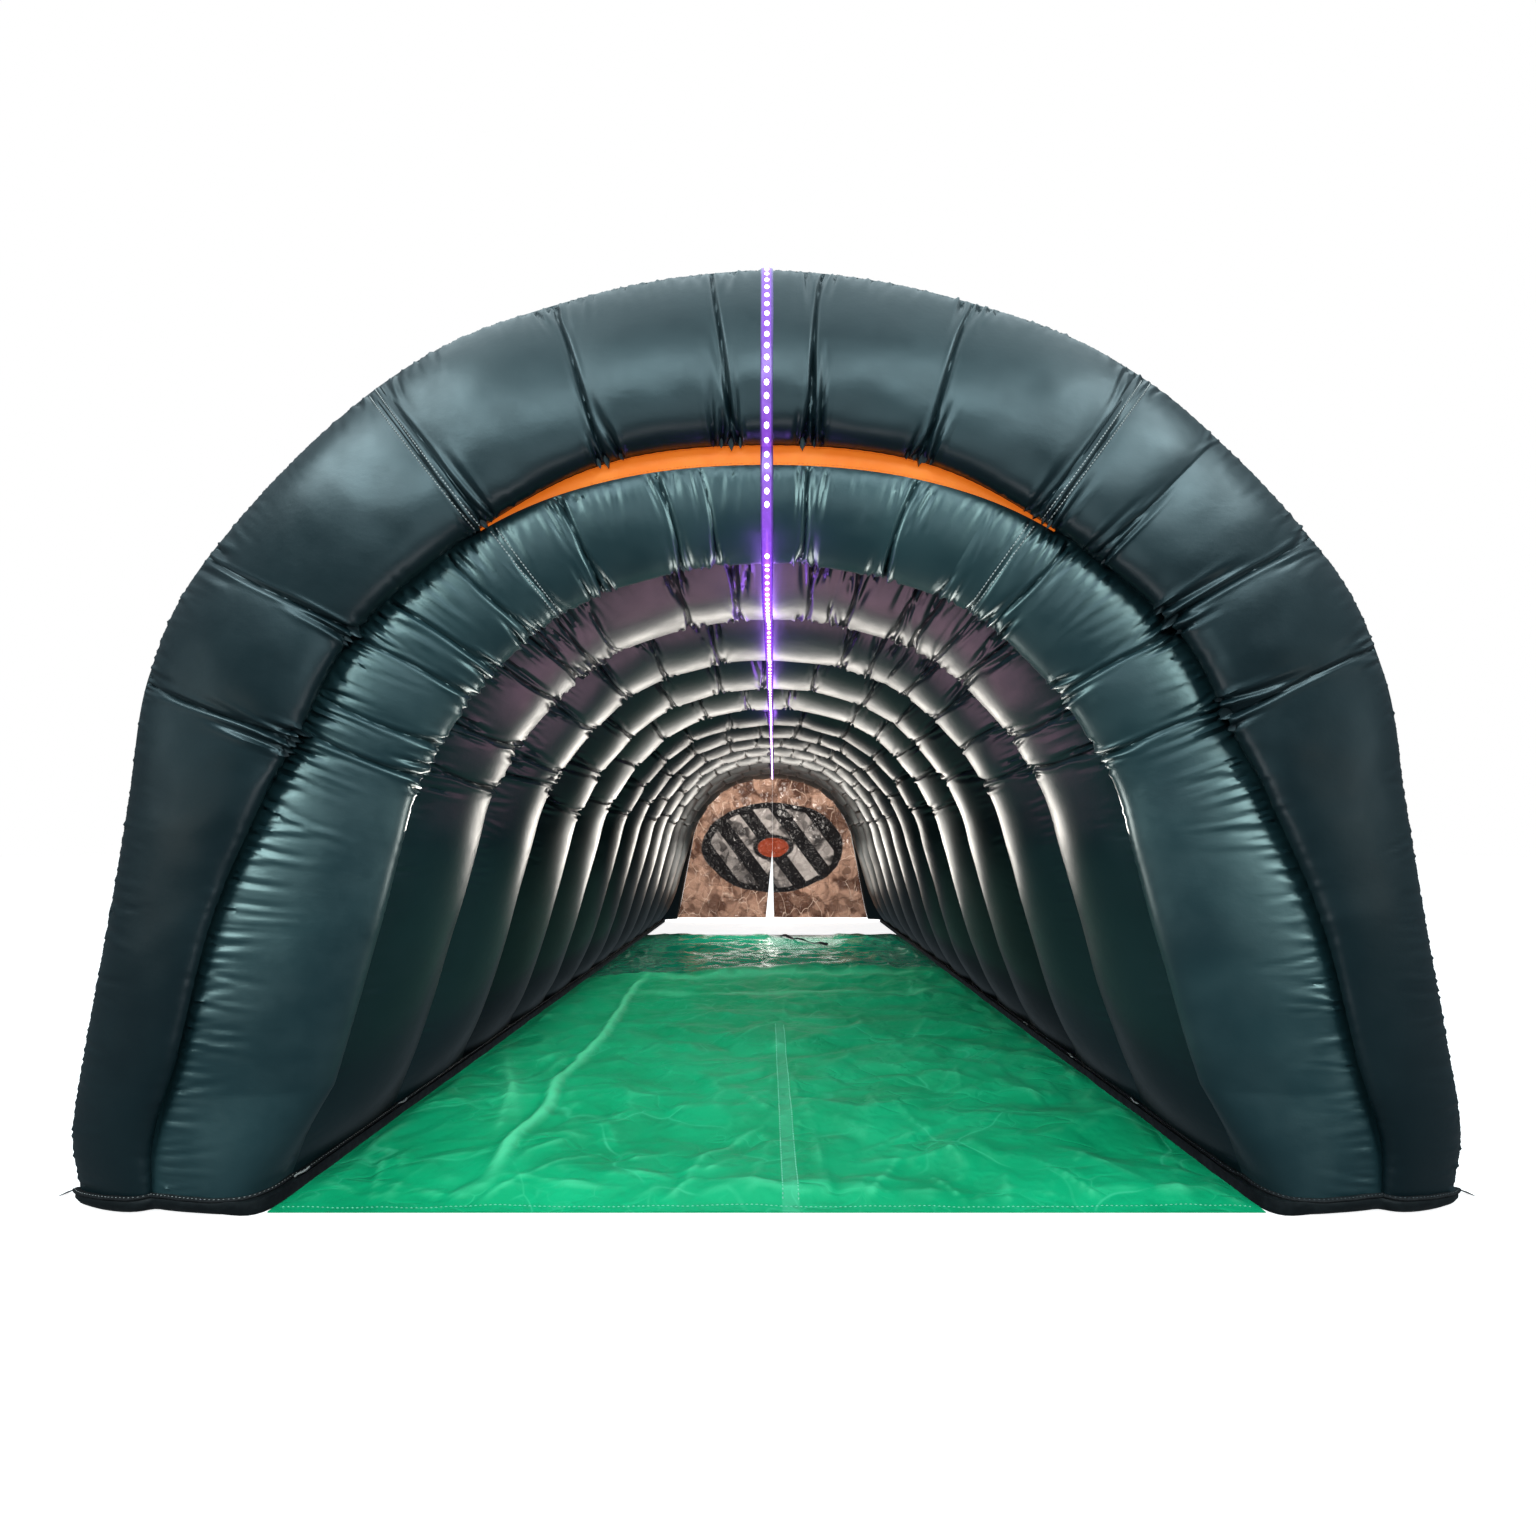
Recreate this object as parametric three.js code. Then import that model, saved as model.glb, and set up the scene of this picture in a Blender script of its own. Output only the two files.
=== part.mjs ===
// An inflatable walk-through tunnel: a thick air-filled mouth ring, twelve arched air cells, a far-end ring,
// a split curtain and a loose groundsheet. Millimetres, +Z up. +Y runs from the mouth to the far end.
import * as THREE from "three";

// Driving sizes
const PITCH = 760; // one air cell, seam to seam
const CELLS = 12;
const GAP = 0.3; // left between pieces that touch
const SOLE_HEIGHT = 46;
const FOOT_Z = SOLE_HEIGHT + GAP;
const TUNNEL_END = CELLS * PITCH; // the last seam, with the mouth's inner seam at 0

// The mouth: where its middle and outer seams stand in front of the inner seam, and how round its panels are
const MIDDLE_SEAM_Y = -190;
const OUTER_SEAM_Y = -120;
// Each panel's curve leaves its inner edge and arrives at its outer one with these handles, as shares of its chord
const OUTER_PANEL = { leave: [-0.07, -0.28], arrive: [-0.2, -0.27], footShare: 0.75, wallCurl: 0.33 };
const INNER_PANEL = { leave: [-0.62, -0.29], arrive: [-0.38, -0.11], footLeave: [-0.07, -0.6], footArrive: [-0.69, -0.15] };
const FOOT_BLEND = 350; // the height over which the panels take on their foot form
const CREASE_DEPTH = 26;
const CREASE_HALF = 0.07; // half the width of a crease, in rows of the table below

// The far-end ring
const END_CREST = 150; // its narrowest line, behind the last seam
const END_DEPTH = 330;
const END_OUTER = 170;
const END_DRAW_CROWN = 20; // how far it closes in on the cells at the crown and at the feet
const END_DRAW_FOOT = 235;

// Half of the arch, from the crown to the right foot: a row is one place along the arch. inner and outer are the
// seams of the two skins, seam is where the mouth's middle seam lies between them and strip is half the width of
// the gusset there. bulge is how far a cell swells past its seams.
const ARCH = [
  { innerX: 0, innerZ: 2310, outerX: 0, outerZ: 3268, seam: 0.287, strip: 34, bulge: 75 },
  { innerX: 420, innerZ: 2258, outerX: 747, outerZ: 3146, seam: 0.308, strip: 31, bulge: 80 },
  { innerX: 785, innerZ: 2114, outerX: 1356, outerZ: 2866, seam: 0.303, strip: 5, bulge: 95 },
  { innerX: 1100, innerZ: 1830, outerX: 1936, outerZ: 2294, seam: 0.353, strip: 5, bulge: 115 },
  { innerX: 1302, innerZ: 1510, outerX: 2165, outerZ: 1856, seam: 0.358, strip: 5, bulge: 130 },
  { innerX: 1390, innerZ: 1240, outerX: 2240, outerZ: 1400, seam: 0.45, strip: 5, bulge: 130 },
  { innerX: 1475, innerZ: 950, outerX: 2305, outerZ: 1000, seam: 0.524, strip: 5, bulge: 130 },
  { innerX: 1590, innerZ: 540, outerX: 2385, outerZ: 560, seam: 0.534, strip: 5, bulge: 125 },
  { innerX: 1672, innerZ: 250, outerX: 2432, outerZ: 250, seam: 0.55, strip: 5, bulge: 90 },
  { innerX: 1742, innerZ: FOOT_Z, outerX: 2408, outerZ: FOOT_Z, seam: 0.534, strip: 5, bulge: 20 },
];
const FOOT = ARCH.length - 1; // the row number of the feet
const MOST_BULGE = Math.max(...ARCH.map((r) => r.bulge));

// Creases across each cell, as rows from the crown: the left side is negative
const MOUTH_CREASES = {
  both: [-4.05, -3.12, -2.05, 0.25, 0.96, 1.92, 3.75],
  outer: [-1.05, -0.3, 2.9],
  inner: [-2.4, -1.6, -0.8, 2.35, 3.2],
};
const CELL_CREASES = [
  [-4.1, -3.5, -2.75, -2.15, -0.95, 0.38, 1.42, 2.4, 3.05, 3.7],
  [-3.9, -2.8, -2.2, -1.65, -0.75, 0.95, 1.95, 2.5, 3.8],
];
// Further in, each side has three creases, which move along the arch from one cell to the next
const FAR_CREASES = { spread: [0.7, 2.1, 3.3], first: 0.3, room: 3.9, step: { left: 0.31, right: 0.93 } };

// Trim and cloth
const CLOTH = 2.5;
const CRESCENT = { edge: 1.2, reach: 2.1 }; // its hem inside the gusset, and its tips, in rows
const LIGHT_STRIP = { width: 44, height: 9, clear: 1.9 };
const CORD = { radius: 3.5, length: 76 };
const BINDING = { width: 18, thickness: 4, out: 12 };
const SOLE_RIM = { inner: 32, front: 24, edge: 12, bevel: 12, back: 270, backCorner: 140, frontCorner: 1800 };
const TAB = { width: 32, thickness: 3, corner: -86 };
const SHEET = { front: -200, back: 7534, left: -1700.2, right: 1700.2 };
const CURTAIN = { bottomRow: 8.9, topRow: 0.25, clear: 0.8, fold: 26, foldPitch: 76, columns: 12 };
const SLIT = { top: 1137, left: 110, right: 25 };
const STRAP = { width: 38, from: [110, 7420], bend: [330, 6920], to: [674, 6390] };

const rubberised = { color: 0x17252b, roughness: 0.42, metalness: 0 };
const looks = {
  skin: new THREE.MeshStandardMaterial(rubberised),
  crescent: new THREE.MeshStandardMaterial({ color: 0xff7d1e, roughness: 0.6 }),
  light: new THREE.MeshStandardMaterial({ color: 0xcbb4ff, roughness: 0.3, emissive: 0x7a4dff }),
  sheet: new THREE.MeshStandardMaterial({ color: 0x0c9a5e, roughness: 0.35 }),
  curtain: new THREE.MeshStandardMaterial({ color: 0xb98a70, roughness: 0.35 }),
  sole: new THREE.MeshStandardMaterial({ color: 0x10181b, roughness: 0.5 }),
  webbing: new THREE.MeshStandardMaterial({ color: 0x0c0d0e, roughness: 0.8 }),
  cord: new THREE.MeshStandardMaterial({ color: 0xe8e6de, roughness: 0.7 }),
};

const tunnel = new THREE.Group();

function add(name, geometry, material) {
  const mesh = new THREE.Mesh(geometry, material);
  mesh.name = name;
  tunnel.add(mesh);
  return mesh;
}

// Turns triangles of point numbers into a closed geometry whose faces point out
function solid(points, triangles) {
  let volume = 0;
  for (const [a, b, c] of triangles) {
    volume += points[a].dot(new THREE.Vector3().crossVectors(points[b], points[c]));
  }
  const turned = volume < 0 ? triangles.map(([a, b, c]) => [a, c, b]) : triangles;
  const geometry = new THREE.BufferGeometry().setFromPoints(points);
  geometry.setIndex(turned.flat());
  geometry.computeVertexNormals();
  return geometry;
}

// Joins closed rings of equally many points, one after the other, and closes both ends. flat turns a point into
// the two numbers that show an end ring undistorted.
function loft(rings, flat) {
  const around = rings[0].length;
  const triangles = [];
  for (let i = 0; i + 1 < rings.length; i++) {
    for (let j = 0; j < around; j++) {
      const next = (j + 1) % around;
      const [a, b, c, d] = [i * around + j, i * around + next, (i + 1) * around + next, (i + 1) * around + j];
      triangles.push([a, b, c], [a, c, d]);
    }
  }
  for (const i of [0, rings.length - 1]) {
    for (const corners of THREE.ShapeUtils.triangulateShape(rings[i].map(flat), [])) {
      triangles.push(corners.map((corner) => corner + i * around));
    }
  }
  return solid(rings.flat(), orient(triangles));
}

// Walks a closed mesh from its first triangle and turns each neighbour the same way
function orient(triangles) {
  const edges = new Map();
  triangles.forEach((t, i) => {
    for (let k = 0; k < 3; k++) {
      const key = [t[k], t[(k + 1) % 3]].sort((a, b) => a - b).join();
      edges.set(key, [...(edges.get(key) ?? []), i]);
    }
  });
  const runs = (t, a, b) => t.some((v, k) => v === a && t[(k + 1) % 3] === b);
  const result = triangles.map((t) => [...t]);
  const seen = new Set([0]);
  const queue = [0];
  while (queue.length) {
    const i = queue.pop();
    const t = result[i];
    for (let k = 0; k < 3; k++) {
      const [a, b] = [t[k], t[(k + 1) % 3]];
      for (const j of edges.get([a, b].sort((p, q) => p - q).join())) {
        if (seen.has(j)) continue;
        if (runs(result[j], a, b)) result[j].reverse();
        seen.add(j);
        queue.push(j);
      }
    }
  }
  return result;
}

const onFloor = (p) => new THREE.Vector2(p.x, p.y);
const onWall = (p) => new THREE.Vector2(p.x, p.z);
const alongTunnel = (p) => new THREE.Vector2(p.y, p.z);

// The arch as smooth curves through the table, from the left foot (-FOOT) over the crown (0) to the right foot
function curveOf(pick) {
  const points = [];
  for (let row = -FOOT; row <= FOOT; row++) points.push(pick(ARCH[Math.abs(row)], Math.sign(row)));
  const curve = new THREE.CatmullRomCurve3(points, false, "catmullrom", 0.5);
  return (row) => curve.getPoint((row + FOOT) / (2 * FOOT));
}
const innerAt = curveOf((r, side) => new THREE.Vector3(side * r.innerX, 0, r.innerZ));
const outerAt = curveOf((r, side) => new THREE.Vector3(side * r.outerX, 0, r.outerZ));
const swellAt = curveOf((r) => new THREE.Vector3(r.seam, r.strip, r.bulge));

// One place along the arch: point(out, y) stands out of the inner seam by out, towards the outer skin
function station(row) {
  const inner = innerAt(row);
  const across = outerAt(row).sub(inner);
  const thickness = across.length();
  const out = across.clone().normalize();
  const [share, strip, bulge] = swellAt(row).toArray();
  return {
    row,
    thickness,
    bulge,
    gussetIn: share * thickness - strip,
    gussetOut: share * thickness + strip,
    height: inner.z,
    point: (along, y) => inner.clone().addScaledVector(out, along).setY(y),
  };
}

// Rows where the arch gets a ring of points: an even spread, finer over the top, and three at each crease
function rowsFor(creases, extra = []) {
  const rows = new Set(extra);
  for (let row = -FOOT; row <= FOOT; row++) {
    rows.add(row);
    if (row > -4 && row < 4) rows.add(row + 0.5);
  }
  rows.add(-3.5);
  const near = (a, b) => Math.abs(a - b) < 2 * CREASE_HALF;
  const keep = [...rows].filter((row) => row === 0 || !creases.some((c) => near(c, row)));
  for (const c of creases) keep.push(c - CREASE_HALF, c, c + CREASE_HALF);
  return keep.sort((a, b) => a - b);
}
const creaseAt = (row, creases) => (creases.some((c) => Math.abs(c - row) < 1e-6) ? CREASE_DEPTH : 0);

// Points from one end of a chord to the other, bulging to its left by height, dented by dent in the middle
function bulging([u0, v0], [u1, v1], height, shares, dent = 0) {
  const length = Math.hypot(u1 - u0, v1 - v0);
  const [nu, nv] = [(v1 - v0) / length, -(u1 - u0) / length];
  return shares.map((t) => {
    const rise = (height - dent) * 4 * t * (1 - t);
    return [u0 + (u1 - u0) * t + nu * rise, v0 + (v1 - v0) * t + nv * rise];
  });
}

const INNER_SHARES = [0, 0.18, 0.5, 0.82, 1];
const OUTER_SHARES = [1, 0.5, 0];
const FRONT_SHARES = [0, 0.15, 0.38, 0.62, 0.85, 1];

function archSolid(rows, sectionOf) {
  const rings = rows.map((row) => {
    const place = station(row);
    return sectionOf(place).map(([along, y]) => place.point(along, y));
  });
  return loft(rings, onFloor);
}

function airCell(index, creases) {
  const start = index * PITCH + GAP / 2;
  const end = (index + 1) * PITCH - GAP / 2;
  const y = (t) => start + t * (end - start);
  return archSolid(rowsFor(creases), (s) => {
    const dent = creaseAt(s.row, creases);
    const inside = INNER_SHARES.map((t) => [-(s.bulge - dent) * 4 * t * (1 - t), y(t)]);
    const outside = OUTER_SHARES.map((t) => [s.thickness + s.bulge * 4 * t * (1 - t), y(t)]);
    return [...inside, ...outside];
  });
}

function farCreases(index) {
  const { spread, first, room, step } = FAR_CREASES;
  const along = (place, shift) => first + ((place + index * shift) % room);
  return [...spread.map((c) => -along(c, step.left)), ...spread.map((c) => along(c, step.right))];
}

// Points from low to high on a smooth curve with these handles, dented by dent in the middle
function rounded(low, high, leave, arrive, dent) {
  const [du, dv] = [high[0] - low[0], high[1] - low[1]];
  const chord = Math.hypot(du, dv);
  const handle = (from, [u, v]) => new THREE.Vector2(from[0] + u * chord, from[1] + v * chord);
  const ends = [new THREE.Vector2(...low), new THREE.Vector2(...high)];
  const curve = new THREE.CubicBezierCurve(ends[0], handle(low, leave), handle(high, arrive), ends[1]);
  return FRONT_SHARES.map((t) => {
    const point = curve.getPoint(t);
    const pull = (dent * 4 * t * (1 - t)) / chord;
    return [point.x - dv * pull, point.y + du * pull];
  });
}

const footShare = (s) => 1 - THREE.MathUtils.clamp((s.height - FOOT_Z) / FOOT_BLEND, 0, 1);
const wallShare = (s) => THREE.MathUtils.clamp((s.bulge - ARCH[0].bulge) / (MOST_BULGE - ARCH[0].bulge), 0, 1);
const blend = (a, b, share) => a.map((x, i) => THREE.MathUtils.lerp(x, b[i], share));

// The mouth's outer panel curls round at the middle seam and runs out to the outer seam
function outerPanel(s, dent = 0) {
  const { leave, arrive } = OUTER_PANEL;
  const size = THREE.MathUtils.lerp(1, OUTER_PANEL.footShare, footShare(s));
  const curl = OUTER_PANEL.wallCurl * wallShare(s) * (1 - footShare(s));
  const start = [(leave[0] - curl) * size, leave[1] * size];
  const end = arrive.map((x) => x * size);
  return rounded([s.gussetOut + GAP, MIDDLE_SEAM_Y], [s.thickness, OUTER_SEAM_Y], start, end, dent);
}
// The mouth's inner panel swells into the tunnel from the inner seam and comes round to the gusset
function innerPanel(s, dent = 0) {
  const [swell, forward] = INNER_PANEL.leave;
  const leave = blend([swell * Math.sqrt(s.bulge / MOST_BULGE), forward], INNER_PANEL.footLeave, footShare(s));
  const arrive = blend(INNER_PANEL.arrive, INNER_PANEL.footArrive, footShare(s));
  return rounded([0, -GAP / 2], [s.gussetIn, MIDDLE_SEAM_Y], leave, arrive, dent);
}

// Both panels share their rows, so that their faces match at the middle seam
const MOUTH_ROWS = rowsFor(Object.values(MOUTH_CREASES).flat());

function mouthOuter() {
  const creases = [...MOUTH_CREASES.both, ...MOUTH_CREASES.outer];
  return archSolid(MOUTH_ROWS, (s) => [
    ...outerPanel(s, creaseAt(s.row, creases)),
    [s.thickness, -GAP / 2],
    [s.gussetOut + GAP, -GAP / 2],
  ]);
}

function mouthInner() {
  const creases = [...MOUTH_CREASES.both, ...MOUTH_CREASES.inner];
  return archSolid(MOUTH_ROWS, (s) => [
    ...innerPanel(s, creaseAt(s.row, creases)),
    [s.gussetOut, MIDDLE_SEAM_Y],
    [s.gussetOut, -GAP / 2],
  ]);
}

const endDraw = (s) => THREE.MathUtils.mapLinear(s.height, ARCH[0].innerZ, 0, END_DRAW_CROWN, END_DRAW_FOOT);

// The far-end ring turns smoothly from the last seam to its narrowest line, then round the back to the outer skin
function endRing() {
  const extra = [CURTAIN.bottomRow, CURTAIN.topRow].flatMap((row) => [-row, row]);
  return archSolid(rowsFor([], extra), (s) => {
    const crest = [-endDraw(s), TUNNEL_END + END_CREST];
    const back = [0.45 * s.thickness, TUNNEL_END + END_DEPTH];
    const rim = [s.thickness, TUNNEL_END + END_OUTER];
    const closing = (t) => -endDraw(s) * Math.sin((t * Math.PI) / 2);
    const turn = [0.35, 0.7].map((t) => [closing(t), TUNNEL_END + END_CREST * t]);
    return [
      [0, TUNNEL_END + GAP / 2],
      ...turn,
      crest,
      ...bulging(back, crest, 50, [0.75, 0.4]),
      ...bulging(rim, back, 45, [1, 0.5]),
      rim,
      [s.thickness, TUNNEL_END + GAP / 2],
    ];
  });
}

// A flat strip of cloth let in between the mouth's two panels over the crown
function crescent() {
  const { edge, reach } = CRESCENT;
  const rings = MOUTH_ROWS.filter((row) => Math.abs(row) < reach).map((row) => {
    const s = station(row);
    const near = MIDDLE_SEAM_Y - GAP;
    const corners = [[s.gussetIn + edge, near], [s.gussetOut - edge, near]];
    const front = corners.map(([along, y]) => [along, y - CLOTH]).reverse();
    return [...corners, ...front].map(([along, y]) => s.point(along, y));
  });
  return loft(rings, alongTunnel);
}

// Moves each point of an open line sideways, to the left of its run, by the same distance
function beside(line, distance) {
  return line.map((p, i) => {
    const before = p.clone().sub(line[Math.max(i - 1, 0)]);
    const after = line[Math.min(i + 1, line.length - 1)].clone().sub(p);
    if (i === 0) before.copy(after);
    if (i === line.length - 1) after.copy(before);
    const [a, b] = [before.normalize(), after.normalize()];
    const middle = a.clone().add(b).normalize();
    const reach = distance / Math.max(middle.dot(a), 0.5);
    return p.clone().add(new THREE.Vector2(-middle.y, middle.x).multiplyScalar(reach));
  });
}

// The light strip hangs under the crown, from the outer seam over the mouth and on along the cells
function lightStrip() {
  const crown = station(0);
  const line = [];
  const place = ([along, y]) => line.push(alongTunnel(crown.point(along, y)));
  outerPanel(crown).slice(1, 5).reverse().forEach(place);
  innerPanel(crown).slice(1, 5).reverse().forEach(place);
  for (let cell = 0; cell < CELLS; cell++) {
    for (const t of INNER_SHARES.slice(1, 4)) place([-crown.bulge * 4 * t * (1 - t), (cell + t) * PITCH]);
  }
  const near = beside(line, -LIGHT_STRIP.clear);
  const far = beside(line, -LIGHT_STRIP.clear - LIGHT_STRIP.height);
  const half = LIGHT_STRIP.width / 2;
  const rings = near.map((p, i) => [
    new THREE.Vector3(-half, p.x, p.y),
    new THREE.Vector3(half, p.x, p.y),
    new THREE.Vector3(half, far[i].x, far[i].y),
    new THREE.Vector3(-half, far[i].x, far[i].y),
  ]);
  return loft(rings, onWall);
}

// The outline on the floor of one row of feet, from the outer front corner round the front and along the inside
function footLine(outwards) {
  const foot = station(FOOT);
  const front = [...innerPanel(foot).slice(1, 5), ...outerPanel(foot).slice(1)];
  const inner = foot.point(-foot.bulge, 0).x;
  const line = front.reverse().map(([along, y]) => onFloor(foot.point(along, y)));
  line.push(new THREE.Vector2(inner, -10), new THREE.Vector2(inner, TUNNEL_END));
  return beside(line, outwards);
}

// The base panel that each row of feet stands on
function sole() {
  const front = footLine(SOLE_RIM.front).slice(0, -2);
  const foot = station(FOOT);
  const inner = foot.point(-foot.bulge - SOLE_RIM.inner, 0).x;
  const outer = foot.point(foot.thickness + foot.bulge + SOLE_RIM.edge, 0).x;
  const back = TUNNEL_END + SOLE_RIM.back;
  const outline = [
    new THREE.Vector2(outer, 0),
    new THREE.Vector2(outer, TAB.corner),
    ...front.slice(1).filter((p) => p.x > SOLE_RIM.frontCorner),
    new THREE.Vector2(inner + 58, -238),
    new THREE.Vector2(inner + 12, -216),
    new THREE.Vector2(inner, -150),
    new THREE.Vector2(inner, back - SOLE_RIM.backCorner),
    new THREE.Vector2(inner + SOLE_RIM.backCorner, back),
    new THREE.Vector2(outer - SOLE_RIM.backCorner, back),
    new THREE.Vector2(outer, back - SOLE_RIM.backCorner),
  ];
  const count = outline.length;
  const under = outline.map((p, i) => {
    const [before, after] = [outline[(i + count - 1) % count], outline[(i + 1) % count]];
    return beside([before, p, after], -SOLE_RIM.bevel)[1];
  });
  const level = (points, z) => points.map((p) => new THREE.Vector3(p.x, p.y, z));
  return loft([level(under, 0), level(outline, SOLE_HEIGHT / 2), level(outline, SOLE_HEIGHT)], onFloor);
}

// A flat tape: a line on the floor plan, with a width across it, lying at a height
function tape(line, width, bottom, top) {
  const left = beside(line, width / 2);
  const right = beside(line, -width / 2);
  const rings = line.map((_, i) => [
    new THREE.Vector3(left[i].x, left[i].y, bottom),
    new THREE.Vector3(right[i].x, right[i].y, bottom),
    new THREE.Vector3(right[i].x, right[i].y, top),
    new THREE.Vector3(left[i].x, left[i].y, top),
  ]);
  return loft(rings, onWall);
}

function mirrored(geometry) {
  const copy = geometry.clone().applyMatrix4(new THREE.Matrix4().makeScale(-1, 1, 1));
  const order = copy.getIndex().array;
  for (let i = 0; i < order.length; i += 3) [order[i], order[i + 1]] = [order[i + 1], order[i]];
  copy.computeVertexNormals();
  return copy;
}

// A webbing tab at each outer front corner, from the edge tape down to the ground
function cornerTab() {
  const foot = station(FOOT);
  const start = foot.point(foot.thickness + foot.bulge + SOLE_RIM.edge, 0).x + TAB.thickness / 2 + GAP;
  const route = [[0, SOLE_HEIGHT + 3], [0, SOLE_HEIGHT - 12], [36, 19], [78, 2.5]];
  const line = route.map(([out, z]) => new THREE.Vector2(start + out, z));
  const under = beside(line, -TAB.thickness / 2);
  const over = beside(line, TAB.thickness / 2);
  const front = TAB.corner + 4;
  const rings = line.map((_, i) => [
    new THREE.Vector3(under[i].x, front, under[i].y),
    new THREE.Vector3(under[i].x, front + TAB.width, under[i].y),
    new THREE.Vector3(over[i].x, front + TAB.width, over[i].y),
    new THREE.Vector3(over[i].x, front, over[i].y),
  ]);
  return loft(rings, onFloor);
}

// A short cord end on the sole's rim, where a cell's seam meets the floor
function seamTie(side, seam) {
  const foot = station(FOOT);
  const x = foot.point(-foot.bulge - SOLE_RIM.inner / 2, 0).x;
  const z = FOOT_Z + BINDING.thickness + GAP + CORD.radius;
  const bends = [[-2, -0.5], [1, 0], [-3, 0.5]];
  const path = new THREE.CatmullRomCurve3(
    bends.map(([out, share]) => new THREE.Vector3(side * (x + out), seam * PITCH + share * CORD.length, z)),
  );
  const section = new THREE.Shape();
  section.absarc(0, 0, CORD.radius, 0, 2 * Math.PI, false);
  return new THREE.ExtrudeGeometry(section, { steps: 4, curveSegments: 8, extrudePath: path });
}

// A grid of points with a front and a back face, closed round its edge
function sheet(grid, across) {
  const rows = grid.length;
  const columns = grid[0].length;
  const front = grid.flat();
  const points = [...front, ...front.map((p) => p.clone().add(across))];
  const back = (i) => i + front.length;
  const triangles = [];
  const quad = (a, b, c, d) => triangles.push([a, b, c], [a, c, d]);
  for (let i = 0; i + 1 < rows; i++) {
    for (let j = 0; j + 1 < columns; j++) {
      const a = i * columns + j;
      const [b, c, d] = [a + 1, a + columns + 1, a + columns];
      quad(a, b, c, d);
      quad(back(a), back(d), back(c), back(b));
    }
  }
  const rim = [];
  for (let j = 0; j < columns; j++) rim.push(j);
  for (let i = 1; i < rows; i++) rim.push(i * columns + columns - 1);
  for (let j = columns - 2; j >= 0; j--) rim.push((rows - 1) * columns + j);
  for (let i = rows - 2; i > 0; i--) rim.push(i * columns);
  rim.forEach((a, i) => {
    const b = rim[(i + 1) % rim.length];
    quad(a, back(a), back(b), b);
  });
  return solid(points, orient(triangles));
}

function hump(distance, half) {
  return Math.abs(distance) < half ? Math.cos((distance / half) * (Math.PI / 2)) ** 2 : 0;
}
const between = (value, low, high, soft) =>
  THREE.MathUtils.smoothstep(value, low, low + soft) * (1 - THREE.MathUtils.smoothstep(value, high - soft, high));

// The groundsheet: a long pleat beside the middle, a wave across it further in, and soft ripples between
const PLEAT = { atFront: -1010, atBack: -1160, length: 4100, half: 55, height: 34 };
const WAVE = { y: 4600, slant: 0.14, half: 330, height: 36, left: -900, right: 1350 };
const RIPPLE = 9;
const FLAT_UNDER_STRAP = { left: -450, right: 1300, front: 5650, back: 8200, soft: 260 };

const pleatX = (y) => THREE.MathUtils.mapLinear(y, 0, PLEAT.length, PLEAT.atFront, PLEAT.atBack);
function sheetHeight(x, y) {
  const pleat = PLEAT.height * hump(x - pleatX(y), PLEAT.half) * between(y, SHEET.front, PLEAT.length, 500);
  const wave = WAVE.height * hump(y - WAVE.y - WAVE.slant * x, WAVE.half) * between(x, WAVE.left, WAVE.right, 450);
  const ripple = RIPPLE * Math.max(0, Math.sin(x / 190 + y / 520) * Math.sin(y / 330 - x / 610));
  const edges = between(x, SHEET.left, SHEET.right, 260) * between(y, SHEET.front, SHEET.back, 400);
  const { left, right, front, back, soft } = FLAT_UNDER_STRAP;
  const flat = 1 - between(x, left, right, soft) * between(y, front, back, soft);
  return pleat + (wave + ripple) * edges * flat;
}

function groundsheet() {
  const grid = [];
  const rows = 34;
  for (let i = 0; i <= rows; i++) {
    const y = THREE.MathUtils.lerp(SHEET.front, SHEET.back, i / rows);
    const middle = pleatX(y);
    const columns = [0, 0.33, 0.66].map((t) => THREE.MathUtils.lerp(SHEET.left, middle - PLEAT.half, t));
    columns.push(middle - PLEAT.half, middle, middle + PLEAT.half);
    for (let j = 1; j <= 10; j++) columns.push(THREE.MathUtils.lerp(middle + PLEAT.half, SHEET.right, j / 10));
    grid.push(columns.map((x) => new THREE.Vector3(x, y, sheetHeight(x, y))));
  }
  return sheet(grid, new THREE.Vector3(0, 0, CLOTH));
}

// Half of the curtain, hung inside the far-end ring and split in the middle
function curtain(side) {
  const rows = [CURTAIN.bottomRow, 8, 7, 6, 5, 4, 3.5, 3, 2.5, 2, 1.5, 1, 0.5, CURTAIN.topRow];
  const slit = side < 0 ? SLIT.left : SLIT.right;
  const grid = rows.map((row) => {
    const s = station(side * row);
    const edge = s.point(-endDraw(s) - CURTAIN.clear, 0);
    const open = Math.max(0, (SLIT.top - edge.z) / SLIT.top);
    const start = side * (1 + slit * open);
    const line = [];
    for (let j = 0; j <= CURTAIN.columns; j++) {
      const x = THREE.MathUtils.lerp(start, edge.x, j / CURTAIN.columns);
      const pleat = CURTAIN.fold * Math.sin(x / CURTAIN.foldPitch + 0.8 * Math.sin(edge.z / 500));
      line.push(new THREE.Vector3(x, TUNNEL_END + END_CREST + pleat, edge.z));
    }
    return line;
  });
  return sheet(grid, new THREE.Vector3(0, CLOTH, 0));
}

// The loose strap that lies on the far end of the groundsheet
function strap() {
  const route = new THREE.CatmullRomCurve3(
    [STRAP.from, STRAP.bend, STRAP.to].map(([x, y]) => new THREE.Vector3(x, y, 0)),
  );
  const line = route.getPoints(8).map(onFloor);
  return tape(line, STRAP.width, CLOTH + 2 * GAP, 2 * CLOTH + 2 * GAP);
}

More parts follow.
